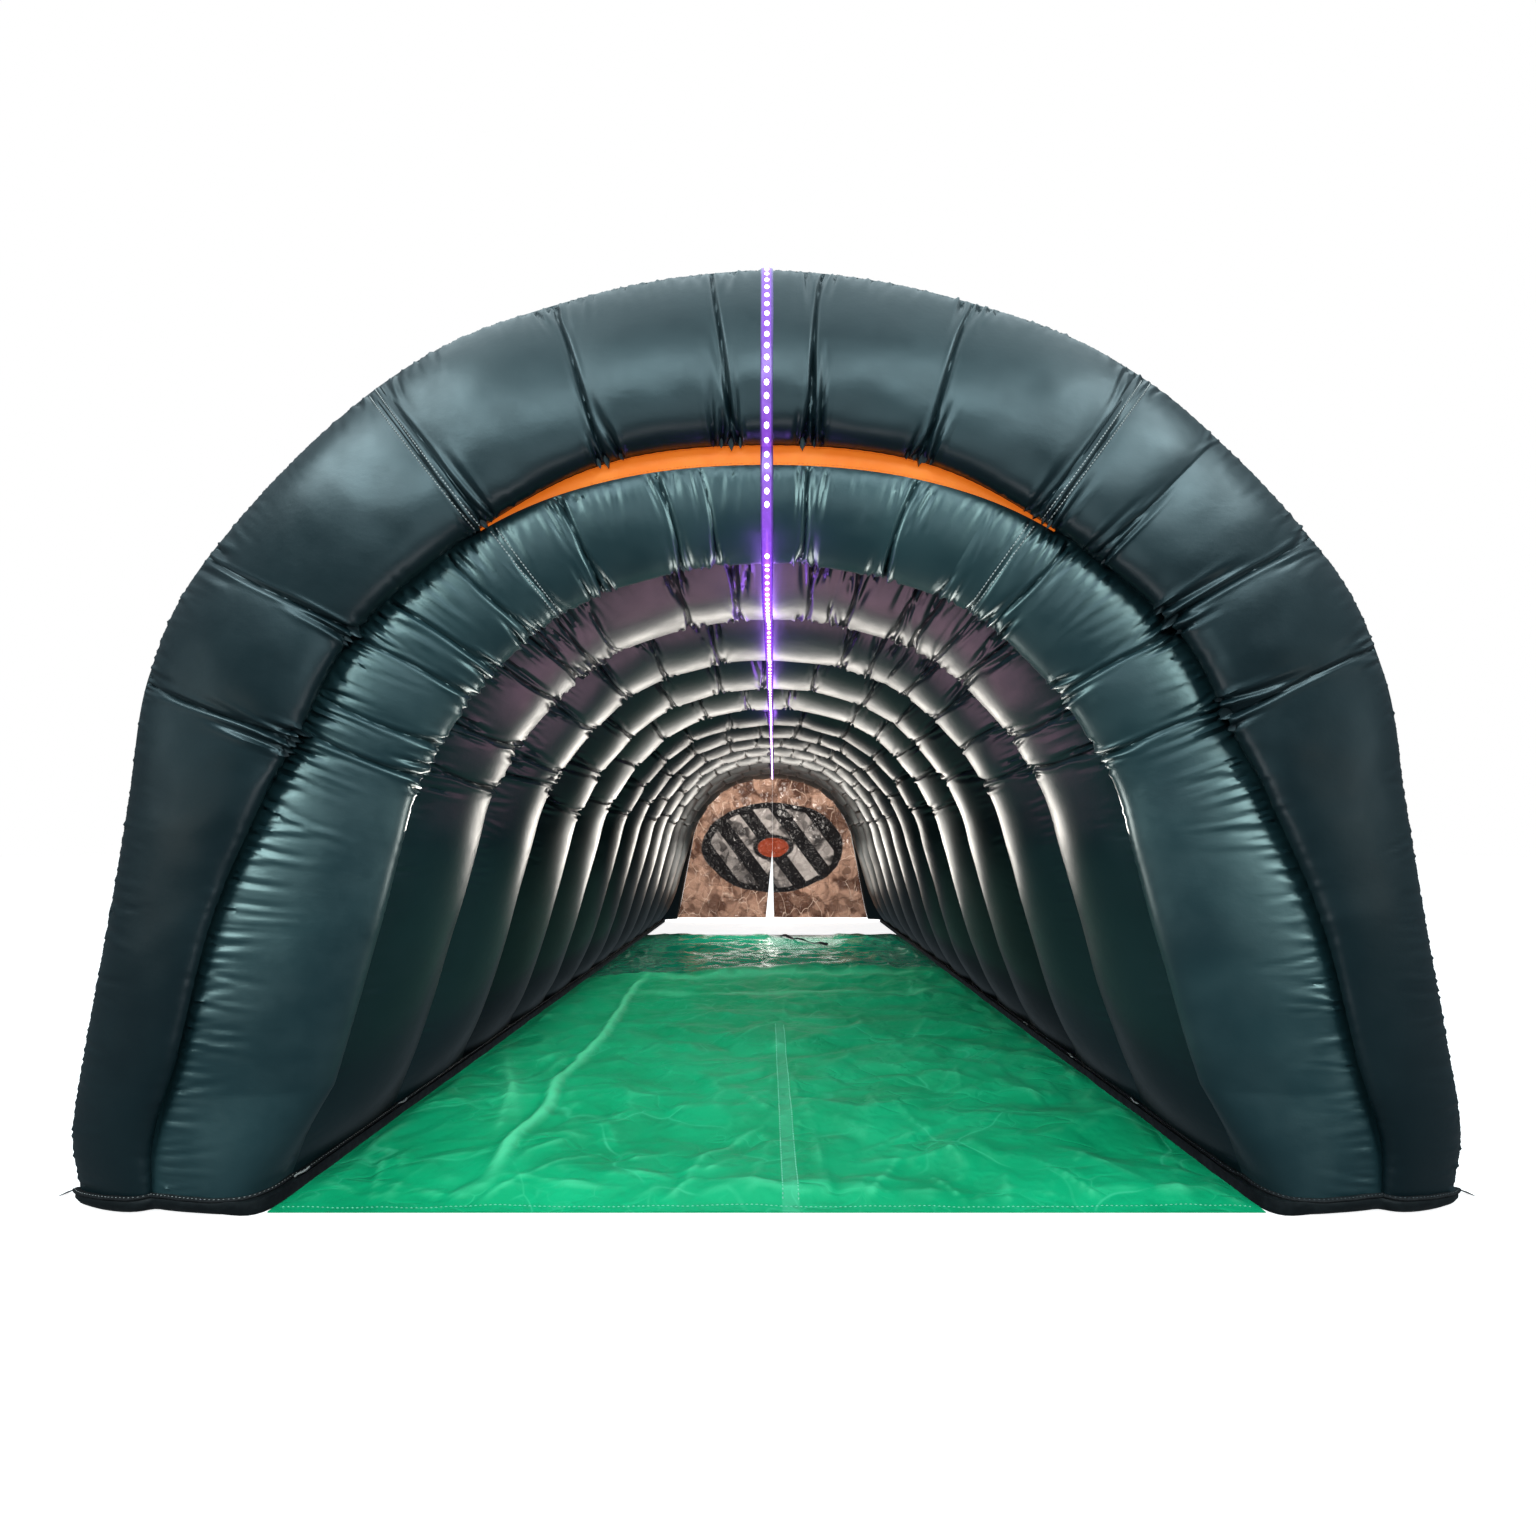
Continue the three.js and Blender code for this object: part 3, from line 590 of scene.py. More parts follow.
def sheet_look():
    """Green PVC sheet: creased and satin near the mouth, darker and wet-looking beyond the fold across it."""
    m = Shader("pvc_green")
    x, y, _ = m.axes(m.place)
    wavy = m.noise(1.4, 4, 0.6) * 0.5 + x * -0.14
    inwards = m.spread(y + wavy, SEAM_Y + 4.68, SEAM_Y + 4.88)
    green = m.mix(m.mottle(0, 1, 1.8, 4, 0.6), (0.0020, 0.340, 0.135), (0.0045, 0.430, 0.180))
    large = m.crumple(1.7, 1.6, m.mapped((1, 1, 0), (0, 0, 0.35)))
    small = m.crumple(4.6, 1.5, m.mapped((1, 1.5, 0), (0, 0, -0.5)))
    patches = m.spread(m.noise(2.1, 4, 0.6), 0.44, 0.60)
    others = m.spread(m.noise(2.6, 4, 0.6, m.mapped((1, 1, 1), move=(5, 2, 0))), 0.44, 0.60)
    rubbed_large = m.spread(large, 0.0, 0.018, 1.0, 0.0) * patches * 0.40
    rubbed_small = m.spread(small, 0.0, 0.022, 1.0, 0.0) * others * 0.25
    worn = m.mix(m.maths("MAXIMUM", rubbed_large, rubbed_small), green, (0.085, 0.66, 0.36))
    # Pale ridges, partly rubbed wear and partly painted highlight, and darker valleys, which are painted
    # shade, from the shape of the sheet
    ridge = m.node("Attribute", "Fac", attribute_name="ridge")
    worn = m.mix(m.maths("MAXIMUM", ridge, 0) * 0.75, worn, (0.085, 0.66, 0.33))
    # Painted shade: the valleys darkened towards deep green
    worn = m.mix(m.maths("MAXIMUM", ridge * -1, 0), worn, (0.0010, 0.140, 0.060))
    # The pale band between the two rows of stitches along the middle
    off = x + (y - SEAM_Y) * 0.0091
    band = m.spread(m.maths("ABSOLUTE", off - 0.0825), 0.026, 0.034, 0.2, 0.0)
    band = band * m.spread(y, SEAM_Y + 2.2, SEAM_Y + 2.35, 1.0, 0.0)
    worn = m.mix(band, worn, (0.16, 0.62, 0.40))
    m.set(Base_Color=m.mix(inwards, worn, (0.0020, 0.200, 0.105)))
    satin = m.mottle(0.40, 0.56, 7, 5, 0.65)
    wet = m.mottle(0.10, 0.26, 4, 4)
    m.set(Roughness=m.node("Mix", 0, {0: inwards, 2: satin, 3: wet}), Specular_IOR_Level=0.18)
    m.bump(m.noise(700, 2), 0.12, 0.0005)
    m.bump(m.noise(16, 6, 0.62, distortion=0.9), 0.25, 0.006)
    m.bump(m.spread(large, 0.0, 0.10) * patches, 0.30, 0.020)
    m.bump(m.spread(small, 0.0, 0.12) * others, 0.30, 0.010)
    return m.material


def curtain_look():
    """Thin copper-brown cloth that lets light through, with a round design of slanting bars, painted light
    and shade on its crumpled facets and painted highlights along its creases.
    """
    m = Shader("curtain_copper")
    x, _, z = m.axes(m.place)
    # Painted light and shade: each crumpled facet is given a lighter or darker copper
    tone = m.facets(3.6, 1.3) * 0.6 + m.facets(9.0, 1.2) * 0.4
    ground = m.mix(m.spread(tone, 0.20, 0.85), (0.105, 0.050, 0.034), (0.50, 0.30, 0.215))
    # Painted highlights: pale lines along the crumple edges
    crease_highlights = m.spread(m.crumple(3.4, 0.9, m.mapped((1.5, 1.5, 0.8))), 0.0, 0.035, 1.0, 0.0)
    ground = m.mix(crease_highlights * m.spread(m.noise(2.4, 3), 0.4, 0.6) * 0.8, ground, (0.80, 0.60, 0.48))
    # An oval field with slanting bars and a disc in it
    black = (0.012, 0.011, 0.012)
    u = (x - 0.01) / 1.16
    v = (z - 1.18) / 0.74
    far = m.maths("SQRT", u * u + v * v) + (m.noise(2.2, 2) - 0.5) * 0.10
    oval = m.spread(far, 0.955, 0.975, 1.0, 0.0)
    slant = x * 5.6 + z * 4.2
    bars = m.spread(m.maths("SINE", slant * 2.1 + 0.6), -0.08, 0.08)
    # The grey bars carry the same painted facet light and shade
    grey = m.mix(m.spread(tone, 0.2, 0.8), (0.040, 0.036, 0.036), (0.42, 0.38, 0.36))
    inside = m.mix(bars, black, grey)
    inside = m.mix(m.spread(far, 0.20, 0.22, 1.0, 0.0), inside, (0.26, 0.045, 0.020))
    inside = m.mix(m.spread(far, 0.26, 0.28), m.mix(m.spread(far, 0.20, 0.22), inside, black), inside)
    inside = m.mix(oval * m.spread(far, 0.84, 0.86), inside, black)
    colour = m.mix(oval, ground, inside)
    m.set(Base_Color=colour, Roughness=m.mottle(0.16, 0.30, 6, 5), Specular_IOR_Level=0.75)
    m.bump(m.noise(300, 2), 0.15, 0.0006)
    m.bump(m.noise(9, 7, 0.66, m.mapped((1.5, 1.5, 0.8)), 1.2), 0.55, 0.012)
    m.bump(m.spread(m.crumple(4.2, 1.1), 0.0, 0.12), 0.85, 0.030)
    m.bump(m.spread(m.crumple(11.0, 0.9), 0.0, 0.14), 0.7, 0.012)
    through = m.node("BsdfTranslucent", 0, {"Color": colour})
    both = m.node("MixShader", 0, {0: 0.32, 1: Value(m, m.surface.outputs[0]), 2: through})
    m.put(m.tree.nodes["Material Output"], "Surface", both)
    return m.material


def sleeve_look():
    """The clear sleeve of the light strip, tinted violet by its lamps, with a painted glow for their light in
    it that is dimmer at its two sewn edges.
    """
    m = Shader("light_sleeve")
    x, _, _ = m.axes(m.place)
    # The painted glow dims at the two sewn edges
    edge = m.spread(m.maths("ABSOLUTE", x), 0.0145, 0.0175)
    m.set(Base_Color=m.mix(m.noise(30, 2), (0.10, 0.05, 0.22), (0.20, 0.12, 0.42)))
    m.set(Roughness=m.mottle(0.15, 0.30, 50, 2))
    # Painted glow that stands in for the lamps' light inside the sleeve
    painted_glow = m.mix(m.noise(45, 3), (0.17, 0.030, 0.42), (0.36, 0.10, 0.80))
    m.set(Emission_Color=m.mix(edge, painted_glow, (0.035, 0.012, 0.10)), Emission_Strength=0.85)
    return m.material


def lamp_look():
    m = Shader("light_dots")
    m.set(Base_Color=m.mix(m.noise(60, 2), (0.7, 0.6, 1.0), (0.8, 0.72, 1.0)))
    m.set(Emission_Color=(0.85, 0.62, 1.0, 1), Emission_Strength=7.0)
    return m.material


def floor_look():
    m = Shader("floor_pale")
    m.set(Base_Color=m.mix(m.noise(0.3, 1), (0.90, 0.90, 0.90), (0.92, 0.92, 0.92)), Roughness=0.9)
    m.set(Emission_Color=(1, 1, 1, 1), Emission_Strength=0.90)
    return m.material


SKIN = skin_look()
ORANGE = crescent_look()
SOLE = sole_look()
WEBBING = webbing_look()
# The white thread has a faint painted glow
WHITE_THREAD = thread_look("thread_white", (0.62, 0.64, 0.62), 0.10)
GREY_THREAD = thread_look("thread_grey", (0.20, 0.23, 0.24))
ORANGE_THREAD = thread_look("thread_orange", (0.80, 0.30, 0.10))
GREEN_THREAD = thread_look("thread_green", (0.20, 0.62, 0.42))
CORD = thread_look("cord_white", (0.74, 0.72, 0.66))
GREEN = sheet_look()
COPPER = curtain_look()
SLEEVE = sleeve_look()
LAMPS = lamp_look()


# The camera and the light
def camera():
    data = bpy.data.cameras.new("view")
    data.lens = LENS
    data.sensor_width = 36
    data.shift_x, data.shift_y = SHIFT
    data.clip_start, data.clip_end = 0.05, 200
    eye = bpy.data.objects.new("view", data)
    eye.location = EYE
    eye.rotation_euler = (math.pi / 2, 0, 0)
    bpy.context.scene.collection.objects.link(eye)
    bpy.context.scene.camera = eye


def sky():
    """White to the camera. Its light is dim from below and from the horizon, and brighter from above."""
    world = bpy.data.worlds.new("studio")
    bpy.context.scene.world = world
    world.use_nodes = True
    n = Nodes(world.node_tree)
    white = n.tree.nodes["Background"]
    n.put(white, "Color", (1, 1, 1, 1))
    n.put(white, "Strength", 1.0)
    way_up = n.axes(n.node("TexCoord", "Generated"))[2]
    height = n.node("Math", 0, {0: way_up, 1: 0.5, 2: 0.5}, operation="MULTIPLY_ADD")
    tone = n.node("ValToRGB", "Color", {"Fac": height})
    ramp = tone.socket.node.color_ramp.elements
    ramp.new(0.58)
    for element, place, colour in zip(ramp, (0.44, 0.58, 1.0), (DIM_SKY, DIM_SKY, HIGH_SKY)):
        element.position = place
        element.color = (*colour, 1)
    soft = n.node("Background", 0, {"Color": tone, "Strength": 1.0})
    seen = n.node("LightPath", "Is Camera Ray")
    both = n.node("MixShader", 0, {0: seen, 1: soft, 2: Value(n, white.outputs[0])})
    n.put(n.tree.nodes["World Output"], "Surface", both)


def stage():
    wide = 60.0
    corners = [(-wide, -wide, 0), (wide, -wide, 0), (wide, wide, 0), (-wide, wide, 0)]
    floor = make_mesh("floor", corners, [(0, 1, 2, 3)], floor_look())
    floor.visible_diffuse = False
    floor.visible_glossy = False
    bpy.context.scene.view_settings.view_transform = "Standard"


DIM_SKY = (0.085, 0.105, 0.118)
HIGH_SKY = (0.34, 0.42, 0.46)
WHITE = (1, 1, 1)
COOL = (0.78, 0.95, 1.0)
PALE_TEAL = (0.80, 1.0, 0.96)
WARM = (1.0, 0.93, 0.85)
ROSE = (1.0, 0.84, 0.84)
VIOLET = (0.45, 0.16, 1.0)


def area_light(name, place, aim, size, power, colour, lit=()):
    """A lamp at place, facing aim, both in the mouth's own frame. It lights the pieces in lit, or all."""
    data = bpy.data.lights.new(name, "AREA")
    data.shape = "RECTANGLE"
    data.size, data.size_y = size
    data.energy = power
    data.color = colour
    lamp = bpy.data.objects.new(name, data)
    lamp.location = (place[0], place[1] + SEAM_Y, place[2])
    lamp.rotation_euler = (Vector(aim) - Vector(place)).to_track_quat("-Z", "Y").to_euler()
    lamp.visible_camera = False
    lamp.visible_glossy = name not in ("sheet_light", "sheet_side", "sheet_front", "sheet_rake")
    bpy.context.scene.collection.objects.link(lamp)
    if lit:
        group = bpy.data.collections.new(name + "_on")
        for piece in lit:
            group.objects.link(piece)
        lamp.light_linking.receiver_collection = group


def pieces(*starts):
    return [o for o in bpy.data.objects if o.type == "MESH" and o.name.startswith(starts)]


def lamps():
    """All lamps, in the mouth's frame: name, place, aim, size, power, colour and the pieces that are lit."""
    walls = pieces("air_cell", "mouth_", "end_ring", "crescent")
    sheet = pieces("groundsheet", "sheet_", "strap_")
    front, lip, cells = pieces("mouth_outer_panel"), pieces("mouth_inner_panel"), pieces("air_cell")
    last = [o for o in walls if o not in front + lip + cells[:9]]
    end = TUNNEL_END
    # The left one of each mirrored pair
    for name, place, aim, *rest in (
        ("side", (-6.2, -5.4, 3.5), (1.6, 0, 1.5), (5.0, 3.4), 760, PALE_TEAL, lip),
        ("throat", (-1.75, -2.05, 2.3), (1.6, 0, 1.5), (2.1, 1.4), 113, PALE_TEAL, cells[:2]),
        ("brow", (-3.6, -6.6, 5.4), (-1.0, -0.2, 2.0), (2.4, 1.6), 130, PALE_TEAL, lip),
        ("wall", (-9.0, -2.6, 3.0), (-2.0, 0, 1.3), (2.4, 2.2), 10, COOL, front),
        ("curl", (-6.0, -3.0, 1.5), (1.8, 0, 1.2), (2.4, 1.2), 5, WARM, front),
        ("lip", (-1.15, 0.35, 0.90), (1.40, -0.15, 1.3), (0.9, 1.1), 58, WARM, lip),
        ("haunch", (-6.1, -3.0, 8.2), (-1.3, -0.3, 2.7), (4.0, 2.5), 190, COOL, front),
    ):
        area_light(name + "_left", place, aim, *rest)
        area_light(name + "_right", (-place[0], *place[1:]), (-aim[0], *aim[1:]), *rest)
    for lamp in (
        ("softbox_front", (0, -9.5 - SEAM_Y, 6.5), (0, -4.6 - SEAM_Y, 1.6), (11, 2), 385, COOL),
        ("softbox_top", (0, -1 - SEAM_Y, 8.5), (0, -SEAM_Y, 2), (10, 12), 380, COOL),
        ("front_fill", (0, -7.5, 3.2), (0, 0, 1.4), (6.0, 3.0), 90, COOL),
        ("under_front", (0, -4.2, 0.25), (0, 0, 2.4), (3.0, 1.0), 20, ROSE, front),
        ("near_glow", (0, 5.8, 0.75), (0, 0, 1.0), (2.6, 0.9), 31, WARM, cells[:4]),
        ("far_glow", (0, end + 0.02, 0.75), (0, end - 4, 0.8), (2.1, 0.9), 38, WARM, cells[:9]),
        ("end_glow", (0, end + 0.03, 0.60), (0, end - 4, 0.6), (2.2, 0.7), 10, WARM, last),
        ("behind_curtain", (0, end + 1.6, 1.4), (0, end, 1.0), (2.6, 2.4), 75, WARM),
        ("curtain_light", (0, end - 2.2, 2.0), (0, end, 1.1), (1.2, 0.4), 60, WARM, pieces("curtain_")),
        ("sheet_light", (0, 3.2, 1.9), (0, 3.2, 0), (1.2, 7.4), 46, WHITE, sheet),
        ("sheet_glint", (0, end - 0.3, 0.24), (0, 4.5, 0.1), (2.2, 0.25), 2.5, WHITE, sheet),
        ("sheet_side", (-1.45, 2.4, 0.85), (0.8, 2.4, 0), (5.0, 0.2), 70, WHITE, sheet),
        ("sheet_front", (0, -2.6, 0.9), (0, 1.5, 0), (3.2, 0.4), 45, WHITE, sheet),
        ("sheet_rake", (0, 7.3, 0.7), (0, 1.5, 0), (2.0, 0.4), 46, WHITE, sheet),
        ("green_tint", (0, 2.6, 0.06), (0, 2.6, 3), (2.2, 5.6), 3.5, (0.06, 1.0, 0.45), walls),
        ("crown_tint", (0, 0.9, 1.2), (0, 0.9, 3), (0.9, 1.2), 9, (0.80, 0.36, 0.50), cells[:4]),
    ):
        area_light(*lamp)
    for cell, power in ((-0.1, 1.2), (0.5, 1.8), (1.5, 1.5), (2.5, 1.0), (4.0, 1.0)):
        y = cell * PITCH
        area_light(f"violet_{cell}", (0, y, 2.14), (0, y, 3), (0.04, 0.7), power, VIOLET)


# The mouth and the air cells
def rounded(low, high, leave, arrive, t):
    """Points from low to high on smooth curves.

    They leave along leave and arrive from arrive, given as shares of the chord.
    """
    chord = np.linalg.norm(high - low, axis=1)[:, None]
    a, b, low, high = [x[:, None] for x in (low + chord * leave, high + chord * arrive, low, high)]
    t = t[None, :, None]
    p = (1 - t) ** 3 * low + 3 * (1 - t) ** 2 * t * a + 3 * (1 - t) * t**2 * b + t**3 * high
    return p[..., 0], p[..., 1]


def parabola(low, high, height, t):
    """Points from low to high, arrays of (along, y), bulging to the left of the run by height."""
    d = high - low
    n = np.stack([d[:, 1], -d[:, 0]], axis=1) / np.linalg.norm(d, axis=1)[:, None]
    t = t[:, None]
    p = low[:, None] * (1 - t) + high[:, None] * t + n[:, None] * (height * 4 * t * (1 - t))
    return p[..., 0], p[..., 1]


def seam(along, y):
    return np.column_stack([along, np.full(len(along), y)])


def seam_shares(count):
    """Shares across a panel, closer together near its seams."""
    u = np.linspace(-1, 1, count)
    return 0.5 + 0.5 * np.sign(u) * (1 - (1 - np.abs(u)) ** 1.35)


def foot_share(st):
    return 1 - np.clip((st.inner[:, 1:] - FOOT_Z) / 0.35, 0, 1)


def outer_panel(st, t):
    """The mouth's outer panel curls round at its inner edge and rises gently from the outer seam."""
    foot = foot_share(st)
    size = 1 - 0.25 * foot
    wall = np.clip((st.bulge[:, None] - 0.075) / 0.055, 0, 1) * (1 - foot)
    leave = (np.array([-0.07, -0.28]) + wall * np.array([-0.33, 0])) * size
    arrive = np.array([-0.20, -0.27]) * size
    return rounded(seam(st.gusset_out + GAP, MIDDLE_Y), seam(st.thick, OUTER_Y), leave, arrive, t)


def inner_panel(st, t):
    """The mouth's inner panel swells into the tunnel before it turns back to the inner seam."""
    foot = foot_share(st)
    leave = seam(-0.62 * np.sqrt(st.bulge / 0.13), -0.29)
    leave = leave * (1 - foot) + np.array([-0.07, -0.60]) * foot
    arrive = np.array([-0.38, -0.11]) * (1 - foot) + np.array([-0.69, -0.15]) * foot
    return rounded(seam(0 * st.thick, -GAP / 2), seam(st.gusset_in, MIDDLE_Y), leave, arrive, t)


def haunch(s_total):
    """Gathers are stronger on the haunches of the arch than at the crown and the feet."""
    def strength(at):
        u = abs(2 * at / s_total - 1)
        return 0.45 + 0.75 * math.exp(-(((u - 0.55) / 0.25) ** 2))
    return strength


def panel_width(p):
    return np.linalg.norm(np.diff(p, axis=1), axis=2).sum(1)


def mouth_outer():
    """Makes the outer panel and gives its stations, shares across, points and normals."""
    t = seam_shares(48)
    creases = crease_rows(MOUTH_ANGLES, 0.65)
    rows, s = even_rows(0.0115, 0.75, creases, 0.0045, 0.055)
    st = Stations(rows)
    p = st.points(*outer_panel(st, t))
    relief = Relief(s, t, panel_width(p), 11)
    relief.pillows(relief.cut(rows, creases, 0.42, 0.024, 0), 0.034, 0.024)
    relief.unevenness(0.006, 0.30)
    relief.unevenness(0.0025, 0.11)
    relief.gathers(1, 0.024, 0.15, 0.0075, None, (0.005, 0.011))
    relief.gathers(0, 0.036, 0.15, 0.0060, haunch(s[-1]), (0.007, 0.014))
    n = normals_of(p, np.array([0, -1.0, 0]))
    p = p + n * relief.d[..., None]
    # The outer skin from the seam back to the first cell, and the hidden back
    edge = np.linspace(0, 1, 7)[1:]
    rim_along = st.thick[:, None] + 0.014 * np.sin(math.pi * edge)
    rim = st.points(rim_along, OUTER_Y + edge * (-GAP / 2 - OUTER_Y))
    back = st.points((st.gusset_out + GAP)[:, None], -GAP / 2)
    air_filled("mouth_outer_panel", [p, rim, back], "mouth_outer")
    return st, t, p, n


def mouth_inner():
    """Makes the inner panel and gives its stations, shares across, points and normals."""
    t = seam_shares(44)
    creases = crease_rows(LIP_ANGLES, 0.15)
    rows, s = even_rows(0.0100, 0.2, creases, 0.0045, 0.050)
    st = Stations(rows)
    p = st.points(*inner_panel(st, t))
    relief = Relief(s, t, panel_width(p), 12)
    relief.pillows(relief.cut(rows, creases, 0.26, 0.022, 0), 0.035, 0.014)
    relief.unevenness(0.004, 0.22)
    relief.gathers(0, 0.030, 0.12, 0.0055, haunch(s[-1]))
    relief.gathers(1, 0.024, 0.20, 0.0095, haunch(s[-1]))
    n = normals_of(p, -st.outwards() - np.array([0, 0.8, 0]))
    p = p + n * relief.d[..., None]
    shelf = st.points(st.gusset_out[:, None], np.array([MIDDLE_Y, -GAP / 2]))
    air_filled("mouth_inner_panel", [p, shelf], "mouth_inner")
    return st, t, p, n


def air_cell(index):
    step, columns, outer_columns, spacing, half = CELL_DETAIL[min(index // 3, 2)]
    angles = CELL_ANGLES[index] if index < len(CELL_ANGLES) else far_angles(index)
    creases = crease_rows(angles)
    rows, s = even_rows(step, 0.15, creases, step * 0.45)
    st = Stations(rows)
    start, end = index * PITCH + GAP / 2, (index + 1) * PITCH - GAP / 2
    width = np.full(len(rows), PITCH * 1.06)
    t = seam_shares(columns)
    p = st.points(-st.bulge[:, None] * 4 * t * (1 - t), start + t * (end - start))
    relief = Relief(s, t, width, 20 + index)
    relief.pillows(relief.cut(rows, creases, 0.52, 0.024), 0.045, 0.017)
    relief.unevenness(0.005, 0.28)
    relief.gathers(0, spacing, 0.13, 0.0055, haunch(s[-1]), half)
    relief.gathers(1, spacing, 0.15, 0.0060, haunch(s[-1]), half)
    inside = p + normals_of(p, -st.outwards()) * relief.d[..., None]
    # The outer skin
    t = seam_shares(outer_columns)[::-1]
    p = st.points(st.thick[:, None] + st.bulge[:, None] * 4 * t * (1 - t), start + t * (end - start))
    relief = Relief(run_of(p[:, len(t) // 2]), t, width, 50 + index)
    relief.pillows(relief.cut(rows, crease_rows(angles[::2], 1.0), 0.18, 0.018), 0.03, 0.014)
    relief.unevenness(0.005, 0.3)
    for edge in (0, 1):
        relief.gathers(edge, 0.09, 0.14, 0.005, None, (0.014, 0.022))
    outside = p + normals_of(p, st.outwards()) * relief.d[..., None]
    air_filled(f"air_cell_{index + 1:02d}", [inside, outside], f"cell_{index + 1:02d}")


def end_draw(st):
    """How far the end ring stands in from the inner seam, at its crest."""
    return END_DRAW_CROWN + (ARCH[0, 1] - st.inner[:, 1]) / ARCH[0, 1] * (END_DRAW_FOOT - END_DRAW_CROWN)


def end_ring():
    rows, s = even_rows(0.03, 0.4)
    st = Stations(rows)
    draw = end_draw(st)
    turn = np.linspace(0, 1, 9)
    lining = (-draw[:, None] * np.sin(turn * math.pi / 2), TUNNEL_END + GAP / 2 + turn * END_CREST)
    crest = seam(-draw, TUNNEL_END + END_CREST)
    back = seam(0.45 * st.thick, TUNNEL_END + END_DEPTH)
    rim = seam(st.thick, TUNNEL_END + END_OUTER)
    t = np.linspace(0, 1, 13)[::-1][1:]
    outer = np.linspace(0, 1, 6)[1:]
    skin_along = st.thick[:, None] + 0.012 * np.sin(math.pi * outer)
    skin = (skin_along, TUNNEL_END + END_OUTER + outer * (GAP / 2 - END_OUTER))
    strips = [lining, parabola(back, crest, 0.05, t), parabola(rim, back, 0.045, t), skin]
    p = np.concatenate([st.points(*strip) for strip in strips], axis=1)
    shares = np.linspace(0, 1, p.shape[1])
    relief = Relief(s, shares, np.full(len(rows), 1.6), 77)
    for at in np.arange(0.4, s[-1], 0.62):
        relief.crease(at + relief.rng.uniform(-0.08, 0.08), 0.020, 0.028, middle=1.0)
    relief.unevenness(0.008, 0.4)
    back_side = np.exp(-(((shares - 0.62) / 0.22) ** 2))
    core = st.points((0.45 * st.thick)[:, None], TUNNEL_END + 0.1)
    p = p + normals_of(p, p - core) * (relief.d * back_side)[..., None]
    air_filled("end_ring_cloth", [p], "end_ring")


# Stitches
def on_surface(surface, row, share, lift):
    """A point on a finished panel, and its normal there."""
    st, t, p, n = surface
    u = np.interp(row, st.rows, np.arange(len(st.rows)))
    v = np.interp(share, t, np.arange(len(t)))
    i, j = min(int(u), len(st.rows) - 2), min(int(v), len(t) - 2)
    place, normal = [blend(lambda a, b: grid[a, b], i, j, u - i, v - j) for grid in (p, n)]
    return place + unit(normal) * lift, unit(normal)


def stitches(name, runs, material, slot, length, wide, high, pitch):
    """Short threads along runs, each a list of (point, normal). One mesh for all of them."""
    points, faces = [], []
    around = ((0, 2), (2, 1), (1, 3), (3, 0))
    for run in runs:
        p, n = np.array([x[0] for x in run]), np.array([x[1] for x in run])
        far = run_of(p)
        for at in np.arange(pitch / 2, far[-1] - length, pitch):
            a, b = read(p, far, at), read(p, far, at + length)
            ahead = unit(b - a)
            side = unit(np.cross(read(n, far, at), ahead))
            up = np.cross(ahead, side)
            mid = (a + b) / 2
            k = len(points)
            points += [a - up * 0.0008, b - up * 0.0008, mid + side * wide / 2, mid - side * wide / 2]
            points += [mid + up * high, mid - up * 0.0015]
            faces += [[k + u, k + v, k + 4] for u, v in around] + [[k + v, k + u, k + 5] for u, v in around]
    return settle(make_mesh(name, points, faces, material, 0), slot)


def seam_threads(outer, inner):
    """Double white seams across the mouth's panels on both haunches, and the thread of the outer seam."""
    runs = []
    for angle in DOUBLE_SEAMS:
        for offset in (-0.42, 0.42):
            for surface, share in ((outer, 0.65), (inner, 0.15)):
                row = row_at(angle + offset, share)
                runs.append([on_surface(surface, row, v, 0.0016) for v in np.linspace(0.97, 0.03, 60)])
    stitches("double_seams", runs, WHITE_THREAD, "cord", 0.0120, 0.0052, 0.0024, 0.0123)
    rim = [on_surface(outer, row, 0.968, 0.0003) for row in np.linspace(-FOOT, FOOT, 900)]
    stitches("rim_stitches", [rim], GREY_THREAD, "webbing", 0.010, 0.0024, 0.0010, 0.018)


def crescent():
    rows = np.linspace(-2.06, 2.06, 260)
    st = Stations(rows)
    t = np.linspace(0, 1, 13)
    low = (st.gusset_in + 0.0012)[:, None]
    wide = np.maximum((st.gusset_out - 0.0012)[:, None] - low, 0.002)
    along = low + wide * t
    full = np.clip(wide / 0.06, 0, 1)
    gather = 0.0012 * np.sin(rows * 70 + 2 * np.sin(rows * 9))[:, None] * np.abs(2 * t - 1) ** 2
    y = MIDDLE_Y - 0.0012 - 0.006 * np.sin(math.pi * t) * full - gather * full
    front = st.points(along, y)
    back = st.points(along[:, ::-1], MIDDLE_Y - 0.0004)
    piece = loft("crescent_gusset", np.concatenate([front, back], axis=1), ORANGE)
    settle(piece, "gusset", "crescent")
    trimmed = slice(54, -54)
    facing = np.array([0, -1.0, 0])
    runs = [[(place + 0.0006 * facing, facing) for place in front[trimmed, k]] for k in (1, 11)]
    hem = stitches("crescent_stitches", runs, ORANGE_THREAD, "gusset", 0.008, 0.0022, 0.0012, 0.013)
    edge = st.points(low, y[:, :1])[:, 0]


# The light strip
def crown_line():
    """The line that the light strip follows under the crown, as (y, z)."""
    st = Stations([0.0])
    crown = st.inner[0, 1]
    fine = np.linspace(1, 0, 40)
    panels = [panel(st, fine) for panel in (outer_panel, inner_panel)]
    outer, inner = [np.stack([y[0] + SEAM_Y, crown + along[0]], axis=1) for along, y in panels]
    t = np.linspace(0, 1, 17)[1:-1]
    drop = st.bulge[0] * 4 * t * (1 - t)
    cells = [np.stack([SEAM_Y + (k + t) * PITCH, crown - drop], axis=1) for k in range(CELLS)]
    return np.concatenate([outer[2:], inner[1:-1], *cells])


